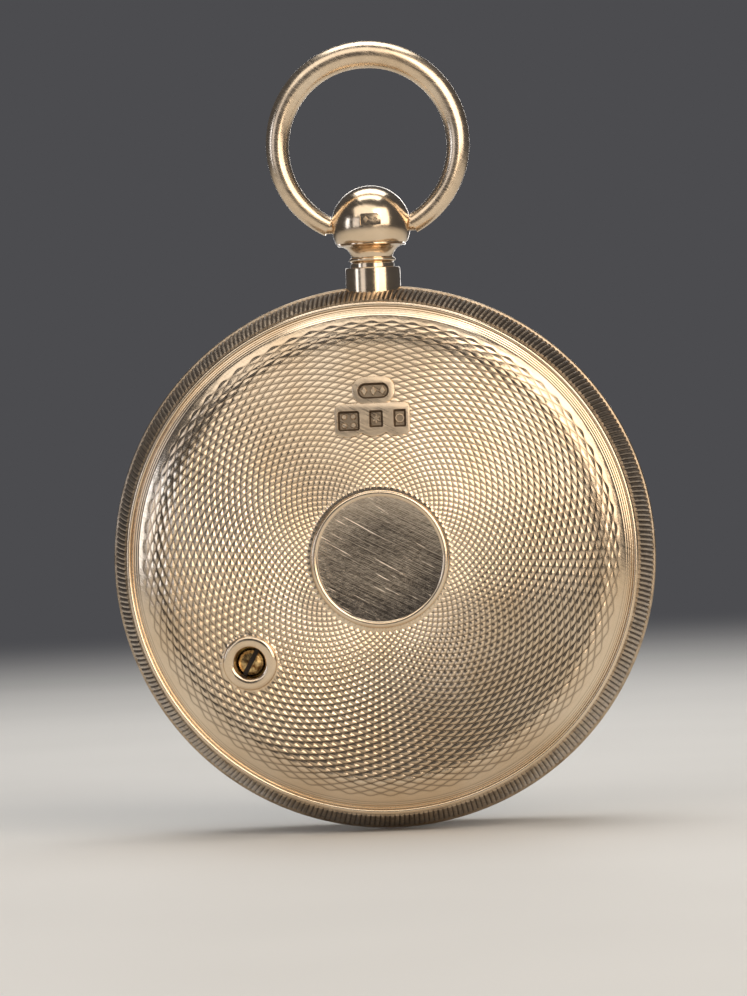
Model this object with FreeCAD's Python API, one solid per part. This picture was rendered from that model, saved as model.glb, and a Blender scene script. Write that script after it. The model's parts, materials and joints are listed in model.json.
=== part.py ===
"""Pocket aneroid barometer in a watch-style case, with a ball pendant and a ring bow.

Millimetres. +Z points up, from the case to the bow. The engine-turned back faces -Y and the dial
faces +Y. Pieces are drawn about the centre of the case, on the pendant's own plane, and moved as they
are written, so that the row's origin is the inside of the bow's top, where a chain or hook holds the
barometer.

The movement is drawn in a frame of its own, with its long axis along X: the adjusting screw is at its
-X end and the rocking shaft at its +X end. The whole movement is then turned about the case's axis to
bring the adjusting screw behind the hole in the back.
"""

import FreeCAD, Part
import math
import os

V = FreeCAD.Vector
X_AXIS, Y_AXIS, Z_AXIS = V(1, 0, 0), V(0, 1, 0), V(0, 0, 1)

# ---- Case ----------------------------------------------------------------------------------------
CASE_R = 24.0  # the band's largest radius, at its equator
BAND_HALF = 4.6  # half the band's width, front to back
BAND_EDGE_DROP = 1.35  # how much smaller the band's radius is at its edges than at its equator
BAND_WALL = 1.35  # from the band's edge in to its bore
FLANGE_T, FLANGE_W = 0.6, 1.9  # the inner flange that the base plate sits on
LIP_INSET = 0.25  # how far the lips of the back and the bezel stand inside the band's edge
LIP_W, LIP_H = 0.45, 0.85  # the bead round the back
LIP_STEP = 0.12  # the dome starts this far below the bead's top
CROWN_RADIUS = 100.0  # the gentle curve of the back
SHOULDER_RADIUS = 7.0  # the tighter curve near its edge
SHOULDER_W = 3.4  # how much of the back's radius the shoulder takes
BACK_T = 0.7
BACK_SKIRT_W, BACK_SKIRT_H = 0.4, 0.5  # the rim that springs into the flange
CARTOUCHE_R, CARTOUCHE_RIM_W = 6.1, 0.55
CARTOUCHE_RIM_H, CARTOUCHE_SINK = 0.20, 0.05
SNAP_GAP = 0.02  # between parts that spring together

COLLAR_R, COLLAR_BORE_R, COLLAR_PROUD = 2.4, 1.38, 0.28
COLLAR_SPIGOT_R, COLLAR_SEAT = 1.85, 0.35  # the collar's spigot, and its seat's depth in the back

BEZEL_TOP_W = 0.8  # the flat land that the barometer can lie on
BEZEL_LIP_T = 0.8  # the bezel's metal over the glass
BEZEL_LIP_W = 0.9  # how far that metal reaches in over the glass
BEZEL_SKIRT_W, BEZEL_SKIRT_H = 0.33, 0.8
GLASS_FLANGE_T, GLASS_BEVEL_W, GLASS_BEVEL_H = 0.7, 1.0, 0.55
GLASS_GAP = 1.0  # from the dial to the glass
GLASS_STEP_W = 0.6  # how far the glass stands inside the bezel's bore
SIGHT_RING_TOP_W, SIGHT_RING_FOOT_W = 1.9, 1.3

# ---- Pendant and bow -----------------------------------------------------------------------------
PENDANT_H = 5.3  # from the band to the ball's centre
BALL_R, BALL_FLAT = 3.5, 1.6  # the ball, and how far below its centre it is cut off
PENDANT_LIP_R, PENDANT_LIP_H = 3.04, 0.95
NECK_R, NECK_H = 1.8, 1.2
BEAD_R, BEAD_H = 2.05, 0.4
PENDANT_COLLAR_R = 2.42
SPIGOT_R = 1.5
BOW_RADIUS = 8.0  # of the ring's centreline
BOW_RISE = 7.1  # from the ball's centre to the ring's
BOW_TOP_WIRE_R, BOW_END_WIRE_R = 1.22, 0.87
BOW_SECTIONS = 17
BOW_PIN_R, BOW_PIN_PLAY, BOW_PIN_DEPTH = 0.60, 0.05, 1.9
BOW_GAP = 0.12  # between the bow's ends and the ball

# ---- Movement ------------------------------------------------------------------------------------
MOVEMENT_TURN = -36.4  # degrees about +Y
MOVEMENT_H = 8.2  # from the base plate to the dial
PLATE_T, PLATE_PLAY = 0.8, 0.2
CASE_SCREW_INSET, CASE_SCREW_R, CASE_SCREW_HEAD_R, CASE_SCREW_HEAD_H = 0.85, 0.4, 0.75, 0.4
PILLAR_INSET, PILLAR_R, RIVET_R = 2.9, 0.9, 0.55
DIAL_T, DIAL_PLAY, DIAL_HOLE_R = 0.5, 0.2, 0.9
DIAL_SCREW_HEAD_R, DIAL_SCREW_HEAD_H, DIAL_SCREW_R, DIAL_SCREW_L = 0.75, 0.3, 0.4, 2.0
SLOT_SHARE = 0.17  # the width of a screw's slot, as a share of its head's width

ADJUSTER_HEAD_R, ADJUSTER_HEAD_H, ADJUSTER_SINK = 1.24, 1.1, 0.05
ADJUSTER_SHANK_R, ADJUSTER_PLAY = 0.70, 0.05
ADJUSTER_BUSH_R = 1.7
ADJUSTER_SLOT_TURN = 61.0  # degrees, as the back is looked at

CAPSULE_R, CAPSULE_HALF = 8.5, 1.0  # the vacuum box
CAPSULE_OFFSET = 3.0  # how far it lies off the centre
CAPSULE_RIM_W, CAPSULE_RIM_H = 0.4, 0.5
CAPSULE_WAVES, CAPSULE_WAVE_H, CAPSULE_SHEET_T = 5, 0.16, 0.14
CAPSULE_CENTRE_R = 1.6  # the flat middle that the foot and the post are fixed to
CAPSULE_LIFT = 0.3  # the foot's height over the base plate
CAPSULE_STUD_R, CAPSULE_NUT_R, CAPSULE_NUT_H = 0.8, 1.6, 0.8
POST_R, POST_H = 0.8, 2.05
KNIFE_SIDE, KNIFE_HALF_L = 0.5, 1.7

CARRIER_GAP = 0.45  # between the capsule and the bridge that goes round it
CARRIER_W, CARRIER_T, CARRIER_LIFT = 2.0, 0.8, 0.5
CARRIER_PIVOT_X = -5.0
CARRIER_POST_SIDE, CARRIER_POST_GAP = 1.8, 0.35
PIVOT_SCREW_R, PIVOT_TIP_R, PIVOT_PLAY = 0.45, 0.3, 0.04
TAIL_INSET, TAIL_HALF_W, TAIL_SCREW_INSET = 3.2, 3.2, 3.35

SPRING_T, SPRING_GAP = 0.5, 1.3  # the C-shaped mainspring's leaf, and the space between its two runs
SPRING_ROOT_HALF_W, SPRING_TIP_HALF_W, SPRING_TIP_X = 2.6, 1.5, 1.0
SPRING_SLOT_GAP = 0.15
CLAMP_T, CLAMP_HALF_L, CLAMP_HALF_W = 0.3, 0.75, 2.3
CLAMP_SCREW_Z, CLAMP_SCREW_R, CLAMP_SCREW_HEAD_R, CLAMP_SCREW_HEAD_H = 1.5, 0.35, 0.6, 0.35

LEVER_T, LEVER_W, LEVER_ROOT_X, LEVER_END_Z = 0.5, 0.9, -1.2, -3.2
LEVER_SCREW_R, LEVER_SCREW_HEAD_R, LEVER_SCREW_HEAD_H = 0.3, 0.5, 0.3

ROCKER_INSET = 9.1  # the rocking shaft's distance in from the plate's edge
ROCKER_LIFT, ROCKER_R = 1.6, 0.5  # the shaft's height over the base plate
ROCKER_Z0, ROCKER_Z1 = -5.2, 3.0
COCK_T, COCK_HALF_W, COCK_RISE, COCK_GAP, COCK_RIVET_R = 0.8, 0.8, 0.9, 0.05, 0.3
ROCKER_ARM_T, ROCKER_HUB_R, ROCKER_ARM_HALF_W = 0.36, 0.8, 0.3
ROCKER_ARM_OVER, CHAIN_NOTCH = 0.35, 0.14  # the arm's end beyond the chain, and its notch's half height
CRANK_L, CRANK_T, CRANK_EYE_R = 1.0, 0.4, 0.34
LINK_PIN_R, LINK_PIN_OUT = 0.14, 0.75
LINK_T, LINK_HALF_W, LINK_PLAY = 0.3, 0.36, 0.04
LINK_SLOT, LINK_SLOT_PLAY = 0.34, 0.09  # the lower eye's length each way, and its side play
CHAIN_HEIGHT = 6.1  # over the base plate
CHAIN_PITCH, CHAIN_PLATE_T, CHAIN_PLATE_H = 0.44, 0.07, 0.20
CHAIN_RIVET_R, CHAIN_WRAP_LINKS = 0.05, 4

ARBOR_R, ARBOR_PIVOT_R, ARBOR_PLAY = 0.36, 0.24, 0.02
BRIDGE_RISE, BRIDGE_T, BRIDGE_SPACE = 4.9, 0.5, 1.7
BRIDGE_POST_X, BRIDGE_POST_Z, BRIDGE_POST_R = 0.6, 12.2, 1.0
BRIDGE_HALF_W = 1.3
BUSH_R = 0.75
BRIDGE_SCREW_R, BRIDGE_SCREW_HEAD_R, BRIDGE_SCREW_HEAD_H = 0.45, 0.85, 0.4
DRUM_WRAP_R = 0.62  # the radius that the chain's centreline has on the drum
DRUM_FLANGE_R, DRUM_FLANGE_T, DRUM_H = 0.95, 0.12, 0.75
COLLET_H = 0.2
HAIRSPRING_R0, HAIRSPRING_PITCH, HAIRSPRING_TURNS = 0.72, 0.42, 5
HAIRSPRING_T, HAIRSPRING_H = 0.07, 0.14
STUD_R = 0.22
POINTER_L, POINTER_TAIL_L, POINTER_T = 15.6, 6.6, 0.16
POINTER_HALF_W, POINTER_TAIL_HALF_W = 0.42, 1.18  # the tail balances the hand
POINTER_LIFT, POINTER_HUB_R = 0.35, 1.15
POINTER_BOSS_R, POINTER_BOSS_H = 0.85, 0.3

# ---- Scale ---------------------------------------------------------------------------------------
SCALE_LOW, SCALE_HIGH, SCALE_SWEEP = 28.0, 31.0, 270.0  # inches of mercury, and degrees of dial
REST_READING = 29.8

# ---- Levels and radii that follow from the sizes above -------------------------------------------
band_edge_r = CASE_R - BAND_EDGE_DROP
bore_r = band_edge_r - BAND_WALL
flange_r = bore_r - FLANGE_W
plate_under = -BAND_HALF + FLANGE_T
plate_top = plate_under + PLATE_T
plate_r = bore_r - PLATE_PLAY
dial_under = plate_top + MOVEMENT_H
dial_top = dial_under + DIAL_T
glass_under = dial_top + GLASS_GAP
glass_ledge = glass_under + GLASS_FLANGE_T
bezel_top = glass_ledge + BEZEL_LIP_T
lip_r = band_edge_r - LIP_INSET
bezel_bore_r = bore_r - SNAP_GAP - BEZEL_SKIRT_W
dial_r = bezel_bore_r - DIAL_PLAY
glass_r = bezel_bore_r - GLASS_STEP_W
glass_opening_r = glass_r - BEZEL_LIP_W

ball_z = CASE_R + PENDANT_H
bow_centre_z = ball_z + BOW_RISE
hang_z = bow_centre_z + BOW_RADIUS - BOW_TOP_WIRE_R  # the inside of the bow's top

tail_x = -(plate_r - TAIL_INSET)
adjuster_x = tail_x + TAIL_SCREW_INSET
capsule_mid = plate_top + CAPSULE_LIFT + CAPSULE_HALF
carrier_under = plate_top + CARRIER_LIFT
carrier_top = carrier_under + CARRIER_T
spring_root_top = carrier_top + SPRING_T
spring_under = spring_root_top + SPRING_GAP
spring_top = spring_under + SPRING_T
bend_y = (spring_root_top + spring_under) / 2
bend_x = tail_x + SPRING_T + SPRING_GAP / 2
lever_top = spring_top + LEVER_T
lever_mid = (spring_top + lever_top) / 2
rocker_x = plate_r - ROCKER_INSET
rocker_y = plate_top + ROCKER_LIFT
crank_x = rocker_x - CRANK_L
chain_y = plate_top + CHAIN_HEIGHT
bridge_under = plate_top + BRIDGE_RISE
bridge_top = bridge_under + BRIDGE_T
upper_bridge_under = bridge_top + BRIDGE_SPACE
upper_bridge_top = upper_bridge_under + BRIDGE_T
pillar_r = plate_r - PILLAR_INSET
case_screw_r = plate_r - CASE_SCREW_INSET
rest_angle = SCALE_SWEEP * (REST_READING - (SCALE_LOW + SCALE_HIGH) / 2) / (SCALE_HIGH - SCALE_LOW)


# ---- Drawing helpers -----------------------------------------------------------------------------
def rod(x, z, radius, y0, y1):
    """A cylinder along Y."""
    return Part.makeCylinder(radius, y1 - y0, V(x, y0, z), Y_AXIS)


def pin(x, y, radius, z0, z1):
    """A cylinder along Z."""
    return Part.makeCylinder(radius, z1 - z0, V(x, y, z0), Z_AXIS)


def tube(x, z, outer, inner, y0, y1):
    return rod(x, z, outer, y0, y1).cut(rod(x, z, inner, y0, y1))


def block(x0, x1, y0, y1, z0, z1):
    return Part.makeBox(x1 - x0, y1 - y0, z1 - z0, V(x0, y0, z0))


def plate(points, y0, y1):
    """A flat plate between two heights, from its outline's (x, z) corners."""
    corners = [V(x, y0, z) for x, z in points]
    face = Part.Face(Part.makePolygon(corners + corners[:1]))
    return face.extrude(V(0, y1 - y0, 0))


def strap(x0, z0, x1, z1, half_width, y0, y1):
    """A flat bar with round ends between two points."""
    length = math.hypot(x1 - x0, z1 - z0)
    side = V(-(z1 - z0), 0, x1 - x0) * (half_width / length)
    corners = [(x0 + side.x, z0 + side.z), (x1 + side.x, z1 + side.z)]
    corners += [(x1 - side.x, z1 - side.z), (x0 - side.x, z0 - side.z)]
    bar = plate(corners, y0, y1)
    ends = [rod(x0, z0, half_width, y0, y1), rod(x1, z1, half_width, y0, y1)]
    return bar.multiFuse(ends).removeSplitter()


def turned(*edges):
    """A solid of revolution about Y, from the edges of its half outline."""
    wire = Part.Wire(Part.__sortEdges__(list(edges)))
    return Part.Face(wire).revolve(V(0, 0, 0), Y_AXIS, 360)


def lines(*points):
    """Straight edges through (radius, y) points."""
    ends = [V(r, y, 0) for r, y in points]
    return [Part.makeLine(a, b) for a, b in zip(ends, ends[1:])]


def arc(start, middle, end):
    """One arc edge through three (radius, y) points."""
    return Part.Arc(*[V(r, y, 0) for r, y in (start, middle, end)]).toShape()


def turned_polygon(*points):
    return turned(*lines(*points, points[0]))


def screw(x, z, radius, head_radius, head_height, seat, foot):
    """A slotted cheese-head screw along Y: its head stands on seat and its shank ends at foot."""
    up = 1 if seat > foot else -1
    ends = sorted((seat, seat + up * head_height))
    shank = sorted((foot, seat))
    body = rod(x, z, head_radius, *ends).fuse(rod(x, z, radius, *shank)).removeSplitter()
    half_slot = SLOT_SHARE * head_radius
    depth = sorted((seat + up * head_height / 2, seat + up * head_height))
    slot = block(x - head_radius, x + head_radius, *depth, z - half_slot, z + half_slot)
    return body.cut(slot)


def around(count, radius, start=0.0):
    """Evenly spaced (x, z) places on a circle."""
    steps = [math.radians(start + 360.0 * i / count) for i in range(count)]
    return [(radius * math.cos(t), radius * math.sin(t)) for t in steps]


def group(shapes):
    return Part.makeCompound(list(shapes))


# ---- The back's curve ----------------------------------------------------------------------------
dome_edge_r = lip_r - LIP_W
shoulder_start_r = dome_edge_r - SHOULDER_W
crown_slope = math.asin(shoulder_start_r / CROWN_RADIUS)
shoulder_centre_r = (CROWN_RADIUS - SHOULDER_RADIUS) * math.sin(crown_slope)
edge_slope = math.asin((dome_edge_r - shoulder_centre_r) / SHOULDER_RADIUS)
dome_edge_y = -BAND_HALF - LIP_H + LIP_STEP
shoulder_centre_y = dome_edge_y + SHOULDER_RADIUS * math.cos(edge_slope)
crown_centre_y = shoulder_centre_y + (CROWN_RADIUS - SHOULDER_RADIUS) * math.cos(crown_slope)


def crown_point(slope, depth=0.0):
    radius = CROWN_RADIUS - depth
    return radius * math.sin(slope), crown_centre_y - radius * math.cos(slope)


def shoulder_point(slope, depth=0.0):
    radius = SHOULDER_RADIUS - depth
    return shoulder_centre_r + radius * math.sin(slope), shoulder_centre_y - radius * math.cos(slope)


def dome_y(radius):
    """The back's outer surface on its gentle crown."""
    return crown_centre_y - math.sqrt(CROWN_RADIUS**2 - radius**2)


# The adjusting screw's hole goes through the back square to its curve.
adjuster_r = abs(adjuster_x)
adjuster_surface_y = dome_y(adjuster_r)
adjuster_slope = math.asin(adjuster_r / CROWN_RADIUS)
adjuster_head_y = adjuster_surface_y + BACK_T + COLLAR_SPIGOT_R * math.sin(adjuster_slope) + ADJUSTER_SINK
adjuster_seat_y = adjuster_head_y + ADJUSTER_HEAD_H


def square_to_back(shape):
    """Moves a piece drawn along Y at the origin to the adjusting screw's hole, square to the back."""
    shape.rotate(V(0, 0, 0), Z_AXIS, -math.degrees(adjuster_slope))
    shape.translate(V(adjuster_x, adjuster_surface_y, 0))
    return shape


# ---- Case pieces ---------------------------------------------------------------------------------
def band_outline_edges():
    edge_back, edge_front = (band_edge_r, -BAND_HALF), (band_edge_r, BAND_HALF)
    inside = lines(edge_front, (bore_r, BAND_HALF), (bore_r, plate_under), (flange_r, plate_under),
                   (flange_r, -BAND_HALF), edge_back)
    return [arc(edge_back, (CASE_R, 0.0), edge_front), *inside]


def case_band():
    """The milled middle of the case, with the flange that carries the movement."""
    band = turned(*band_outline_edges())
    band = band.cut(Part.makeCylinder(SPIGOT_R, CASE_R, V(0, 0, 0), Z_AXIS))
    for x, z in around(3, case_screw_r, 60.0):
        hole = rod(x, z, CASE_SCREW_R, -BAND_HALF, plate_under)
        band = band.cut(turn_movement(hole))
    return band


def case_back():
    """The domed back with its bead, its plain cartouche and the rim that springs into the flange."""
    rim_in, rim_out = CARTOUCHE_R - CARTOUCHE_RIM_W, CARTOUCHE_R
    rim_y = dome_y(rim_out)
    lip_top, lip_y = -BAND_HALF - LIP_H, -BAND_HALF
    skirt_r = flange_r - SNAP_GAP
    skirt_in_r = skirt_r - BACK_SKIRT_W
    rim_slope = math.asin(rim_out / CROWN_RADIUS)
    middle_slope = (rim_slope + crown_slope) / 2
    # the inside of the shoulder, up to where it meets the skirt
    inner_end_slope = math.asin((skirt_in_r - shoulder_centre_r) / (SHOULDER_RADIUS - BACK_T))
    inner_middle_slope = (crown_slope + inner_end_slope) / 2
    outside = [
        *lines((0, rim_y - CARTOUCHE_SINK), (rim_in, rim_y - CARTOUCHE_SINK),
               (rim_in, rim_y - CARTOUCHE_RIM_H),
               (rim_out, rim_y - CARTOUCHE_RIM_H), crown_point(rim_slope)),
        arc(crown_point(rim_slope), crown_point(middle_slope), crown_point(crown_slope)),
        arc(shoulder_point(crown_slope), shoulder_point((crown_slope + edge_slope) / 2),
            shoulder_point(edge_slope)),
        *lines(shoulder_point(edge_slope), (dome_edge_r, lip_top + LIP_W / 2)),
        arc((dome_edge_r, lip_top + LIP_W / 2), (dome_edge_r + LIP_W / 2, lip_top),
            (lip_r, lip_top + LIP_W / 2)),
        *lines((lip_r, lip_top + LIP_W / 2), (lip_r, lip_y), (skirt_r, lip_y),
               (skirt_r, lip_y + BACK_SKIRT_H),
               (skirt_in_r, lip_y + BACK_SKIRT_H), shoulder_point(inner_end_slope, BACK_T)),
    ]
    inside = [
        arc(shoulder_point(inner_end_slope, BACK_T), shoulder_point(inner_middle_slope, BACK_T),
            shoulder_point(crown_slope, BACK_T)),
        arc(crown_point(crown_slope, BACK_T), crown_point(crown_slope / 2, BACK_T),
            crown_point(0.0, BACK_T)),
        *lines(crown_point(0.0, BACK_T), (0, rim_y - CARTOUCHE_SINK)),
    ]
    back = turned(*outside, *inside)
    hole = rod(0, 0, COLLAR_SPIGOT_R, -COLLAR_R, COLLAR_R).fuse(rod(0, 0, COLLAR_R, -COLLAR_R, COLLAR_SEAT))
    return back.cut(turn_movement(square_to_back(hole)))


def screw_hole_collar():
    """The polished collar of the adjusting screw's hole, with a rounded rim and a spigot through the back."""
    round_r = (COLLAR_R - COLLAR_BORE_R) / 2
    crest = -COLLAR_PROUD
    collar = turned(
        arc((COLLAR_BORE_R, 0.0), (COLLAR_BORE_R + round_r, crest), (COLLAR_R, 0.0)),
        *lines((COLLAR_R, 0.0), (COLLAR_R, COLLAR_SEAT), (COLLAR_SPIGOT_R, COLLAR_SEAT),
               (COLLAR_SPIGOT_R, BACK_T),
               (COLLAR_BORE_R, BACK_T), (COLLAR_BORE_R, 0.0)),
    )
    return turn_movement(square_to_back(collar))


def bezel():
    """The polished front ring that springs into the band and holds the glass down."""
    skirt_r = bore_r - SNAP_GAP
    land_out = glass_opening_r + BEZEL_TOP_W + BEZEL_LIP_T / 2
    shoulder = (lip_r, BAND_HALF + LIP_H / 2)
    bulge = ((lip_r * 2 + land_out) / 3, (shoulder[1] + bezel_top * 2) / 3)
    return turned(
        *lines((lip_r, BAND_HALF), shoulder),
        arc(shoulder, bulge, (land_out, bezel_top)),
        *lines((land_out, bezel_top), (glass_opening_r + BEZEL_LIP_T / 2, bezel_top),
               (glass_opening_r, bezel_top - BEZEL_LIP_T / 2), (glass_opening_r, glass_ledge),
               (glass_r, glass_ledge),
               (glass_r, glass_under), (bezel_bore_r, glass_under), (bezel_bore_r, BAND_HALF - BEZEL_SKIRT_H),
               (skirt_r, BAND_HALF - BEZEL_SKIRT_H), (skirt_r, BAND_HALF), (lip_r, BAND_HALF)),
    )


def glass():
    """The flat bevelled glass."""
    top = glass_ledge + GLASS_BEVEL_H
    bevel_foot = glass_opening_r - SNAP_GAP
    edge = glass_r - SNAP_GAP
    return turned_polygon((0, glass_under), (edge, glass_under), (edge, glass_ledge),
                          (bevel_foot, glass_ledge),
                          (bevel_foot - GLASS_BEVEL_W, top), (0, top))


def sight_ring():
    """The sloping ring between the dial and the glass."""
    outer = bezel_bore_r - SNAP_GAP
    return turned_polygon((outer, dial_top), (outer, glass_under), (outer - SIGHT_RING_FOOT_W, glass_under),
                          (outer - SIGHT_RING_TOP_W, dial_top))


def pendant():
    """The ball, its lip, the beaded neck and the spigot that goes through the band, turned in one piece."""
    ball_cut_r = math.sqrt(BALL_R**2 - BALL_FLAT**2)
    lip_high = -BALL_FLAT
    lip_low = lip_high - PENDANT_LIP_H
    neck_low = lip_low - NECK_H
    bead_y = (lip_low + neck_low) / 2
    foot = bore_r - ball_z
    middle = math.radians(35)
    cove = (PENDANT_LIP_R + NECK_R * 2) / 3, (lip_high + lip_low) / 2
    edge = PENDANT_LIP_R, lip_high - PENDANT_LIP_H / 4
    shape = turned(
        arc((0, BALL_R), (BALL_R * math.cos(middle), BALL_R * math.sin(middle)), (ball_cut_r, lip_high)),
        *lines((ball_cut_r, lip_high), (PENDANT_LIP_R, lip_high), edge),
        arc(edge, cove, (NECK_R, lip_low)),
        *lines((NECK_R, lip_low), (NECK_R, bead_y + BEAD_H / 2)),
        arc((NECK_R, bead_y + BEAD_H / 2), (BEAD_R, bead_y), (NECK_R, bead_y - BEAD_H / 2)),
        *lines((NECK_R, bead_y - BEAD_H / 2), (NECK_R, neck_low), (SPIGOT_R, neck_low), (SPIGOT_R, foot),
               (0, foot),
               (0, BALL_R)),
    )
    shape.rotate(V(0, 0, 0), X_AXIS, 90)
    shape.translate(V(0, 0, ball_z))
    bore_half = BOW_PIN_DEPTH + BOW_PIN_PLAY
    holes = [
        Part.makeCylinder(BOW_PIN_R + BOW_PIN_PLAY, BALL_R, V(side * (BALL_R - bore_half), 0, ball_z),
                          V(side, 0, 0))
        for side in (-1, 1)
    ]
    return shape.cut(group(holes))


def pendant_collar():
    """The short tube that the pendant's neck stands on, fitted to the band's round edge."""
    top = ball_z - BALL_FLAT - PENDANT_LIP_H - NECK_H
    low = CASE_R - BAND_EDGE_DROP
    ring = Part.makeCylinder(PENDANT_COLLAR_R, top - low, V(0, 0, low), Z_AXIS)
    ring = ring.cut(Part.makeCylinder(SPIGOT_R, top - low, V(0, 0, low), Z_AXIS))
    return ring.cut(turned(*band_outline_edges()))


def bow_wire_r(angle):
    """The wire tapers evenly from the bow's top to its ends."""
    return BOW_TOP_WIRE_R + (BOW_END_WIRE_R - BOW_TOP_WIRE_R) * abs(angle) / bow_end_angle


bow_end_angle = math.acos(-BOW_RISE / BOW_RADIUS)


def bow():
    """The tapering ring, open at the ball, with a pin at each end that turns in the ball."""
    reach = bow_end_angle + BOW_END_WIRE_R / BOW_RADIUS
    sections = []
    for i in range(BOW_SECTIONS):
        angle = reach * (2.0 * i / (BOW_SECTIONS - 1) - 1)
        centre = V(BOW_RADIUS * math.sin(angle), 0, bow_centre_z + BOW_RADIUS * math.cos(angle))
        along = V(math.cos(angle), 0, -math.sin(angle))
        sections.append(Part.Wire(Part.makeCircle(bow_wire_r(angle), centre, along)))
    ring = Part.makeLoft(sections, True)
    ball_space = Part.makeSphere(BALL_R + BOW_GAP, V(0, 0, ball_z))
    ring = ring.cut(ball_space)
    pin_end = BALL_R + BOW_GAP + BOW_END_WIRE_R / 2
    pin_start = BALL_R - BOW_PIN_DEPTH
    pins = [
        Part.makeCylinder(BOW_PIN_R, pin_end - pin_start, V(side * pin_start, 0, ball_z), V(side, 0, 0))
        for side in (-1, 1)
    ]
    return ring.multiFuse(pins)


# ---- Fixed movement pieces -----------------------------------------------------------------------
def pillar_places():
    return around(3, pillar_r)


def case_screw_places():
    return around(3, case_screw_r, 60.0)


def bridge_places():
    return [(BRIDGE_POST_X, side * BRIDGE_POST_Z) for side in (-1, 1)]


def carrier_post_places():
    inner = carrier_outer_r() + CARRIER_POST_GAP
    return [(CARRIER_PIVOT_X, side * (inner + CARRIER_POST_SIDE / 2)) for side in (-1, 1)]


def cock_places():
    half = COCK_T / 2
    return [(rocker_x, ROCKER_Z0 - COCK_GAP - half), (rocker_x, ROCKER_Z1 + COCK_GAP + half)]


def rivet_places():
    return pillar_places() + bridge_places() + carrier_post_places()


def base_plate():
    """The round brass plate that carries the movement."""
    body = rod(0, 0, plate_r, plate_under, plate_top)
    holes = [rod(x, z, CASE_SCREW_R, plate_under, plate_top) for x, z in case_screw_places()]
    holes += [rod(x, z, RIVET_R, plate_under, plate_top) for x, z in rivet_places()]
    holes += [rod(x, z, COCK_RIVET_R, plate_under, plate_top) for x, z in cock_places()]
    holes.append(rod(-CAPSULE_OFFSET, 0, CAPSULE_STUD_R, plate_under, plate_top))
    holes.append(rod(adjuster_x, 0, ADJUSTER_SHANK_R + ADJUSTER_PLAY, plate_under, plate_top))
    return body.cut(group(holes))


def riveted(body, x, z, radius=RIVET_R):
    """A piece that stands on the base plate, with a rivet through it."""
    return body.fuse(rod(x, z, radius, plate_under, plate_top)).removeSplitter()


def case_screws():
    seat = plate_top
    return group(
        screw(x, z, CASE_SCREW_R, CASE_SCREW_HEAD_R, CASE_SCREW_HEAD_H, seat, -BAND_HALF)
        for x, z in case_screw_places()
    )


def dial_pillars():
    pillars = []
    for x, z in pillar_places():
        body = rod(x, z, PILLAR_R, plate_top, dial_under)
        body = body.cut(rod(x, z, DIAL_SCREW_R, dial_under - DIAL_SCREW_L, dial_under))
        pillars.append(riveted(body, x, z))
    return group(pillars)


def dial():
    body = rod(0, 0, dial_r, dial_under, dial_top)
    holes = [rod(x, z, DIAL_SCREW_R, dial_under, dial_top) for x, z in pillar_places()]
    holes.append(rod(0, 0, DIAL_HOLE_R, dial_under, dial_top))
    return body.cut(group(holes))


def dial_screws():
    foot = dial_under - DIAL_SCREW_L
    return group(
        screw(x, z, DIAL_SCREW_R, DIAL_SCREW_HEAD_R, DIAL_SCREW_HEAD_H, dial_top, foot)
        for x, z in pillar_places()
    )


def adjuster_bush():
    """The tube under the base plate that the adjusting screw's head bears on."""
    return tube(adjuster_x, 0, ADJUSTER_BUSH_R, ADJUSTER_SHANK_R + ADJUSTER_PLAY, adjuster_seat_y + SNAP_GAP,
                plate_under)


def corrugated_sheet(centre_y, rim_y, side):
    """One diaphragm: a flat middle, then round waves out to the rim. side is +1 for the upper one."""
    wave_w = (CAPSULE_R - CAPSULE_CENTRE_R) / CAPSULE_WAVES
    thick = side * CAPSULE_SHEET_T

    def level(radius):
        share = (radius - CAPSULE_CENTRE_R) / (CAPSULE_R - CAPSULE_CENTRE_R)
        return centre_y + (rim_y - centre_y) * share

    def face_edges(offset):
        found = lines((0, centre_y + offset), (CAPSULE_CENTRE_R, centre_y + offset))
        for i in range(CAPSULE_WAVES):
            r0 = CAPSULE_CENTRE_R + i * wave_w
            r1 = r0 + wave_w
            middle = (r0 + r1) / 2
            crest = level(middle) + (CAPSULE_WAVE_H if i % 2 == 0 else -CAPSULE_WAVE_H) * side
            found.append(arc((r0, level(r0) + offset), (middle, crest + offset), (r1, level(r1) + offset)))
        return found

    ends = lines((CAPSULE_R, rim_y), (CAPSULE_R, rim_y - thick)) + lines((0, centre_y), (0, centre_y - thick))
    return shifted_capsule(turned(*face_edges(0.0), *face_edges(-thick), *ends))


def shifted_capsule(shape):
    shape.translate(V(-CAPSULE_OFFSET, 0, 0))
    return shape


def capsule_upper():
    return corrugated_sheet(capsule_mid + CAPSULE_HALF, capsule_mid + CAPSULE_RIM_H / 2, 1)


def capsule_lower():
    return corrugated_sheet(capsule_mid - CAPSULE_HALF, capsule_mid - CAPSULE_RIM_H / 2, -1)


def capsule_rim():
    half = CAPSULE_RIM_H / 2
    return tube(-CAPSULE_OFFSET, 0, CAPSULE_R + CAPSULE_RIM_W, CAPSULE_R, capsule_mid - half,
                capsule_mid + half)


def capsule_foot():
    """The boss under the capsule, and its stud through the base plate."""
    stud_end = plate_under - CAPSULE_NUT_H
    boss = rod(-CAPSULE_OFFSET, 0, CAPSULE_CENTRE_R, plate_top, plate_top + CAPSULE_LIFT)
    return boss.fuse(rod(-CAPSULE_OFFSET, 0, CAPSULE_STUD_R, stud_end, plate_top)).removeSplitter()


def capsule_nut():
    sides = [(x - CAPSULE_OFFSET, z) for x, z in around(6, CAPSULE_NUT_R)]
    low = plate_under - CAPSULE_NUT_H
    return plate(sides, low, plate_under).cut(rod(-CAPSULE_OFFSET, 0, CAPSULE_STUD_R, low, plate_under))


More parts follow.
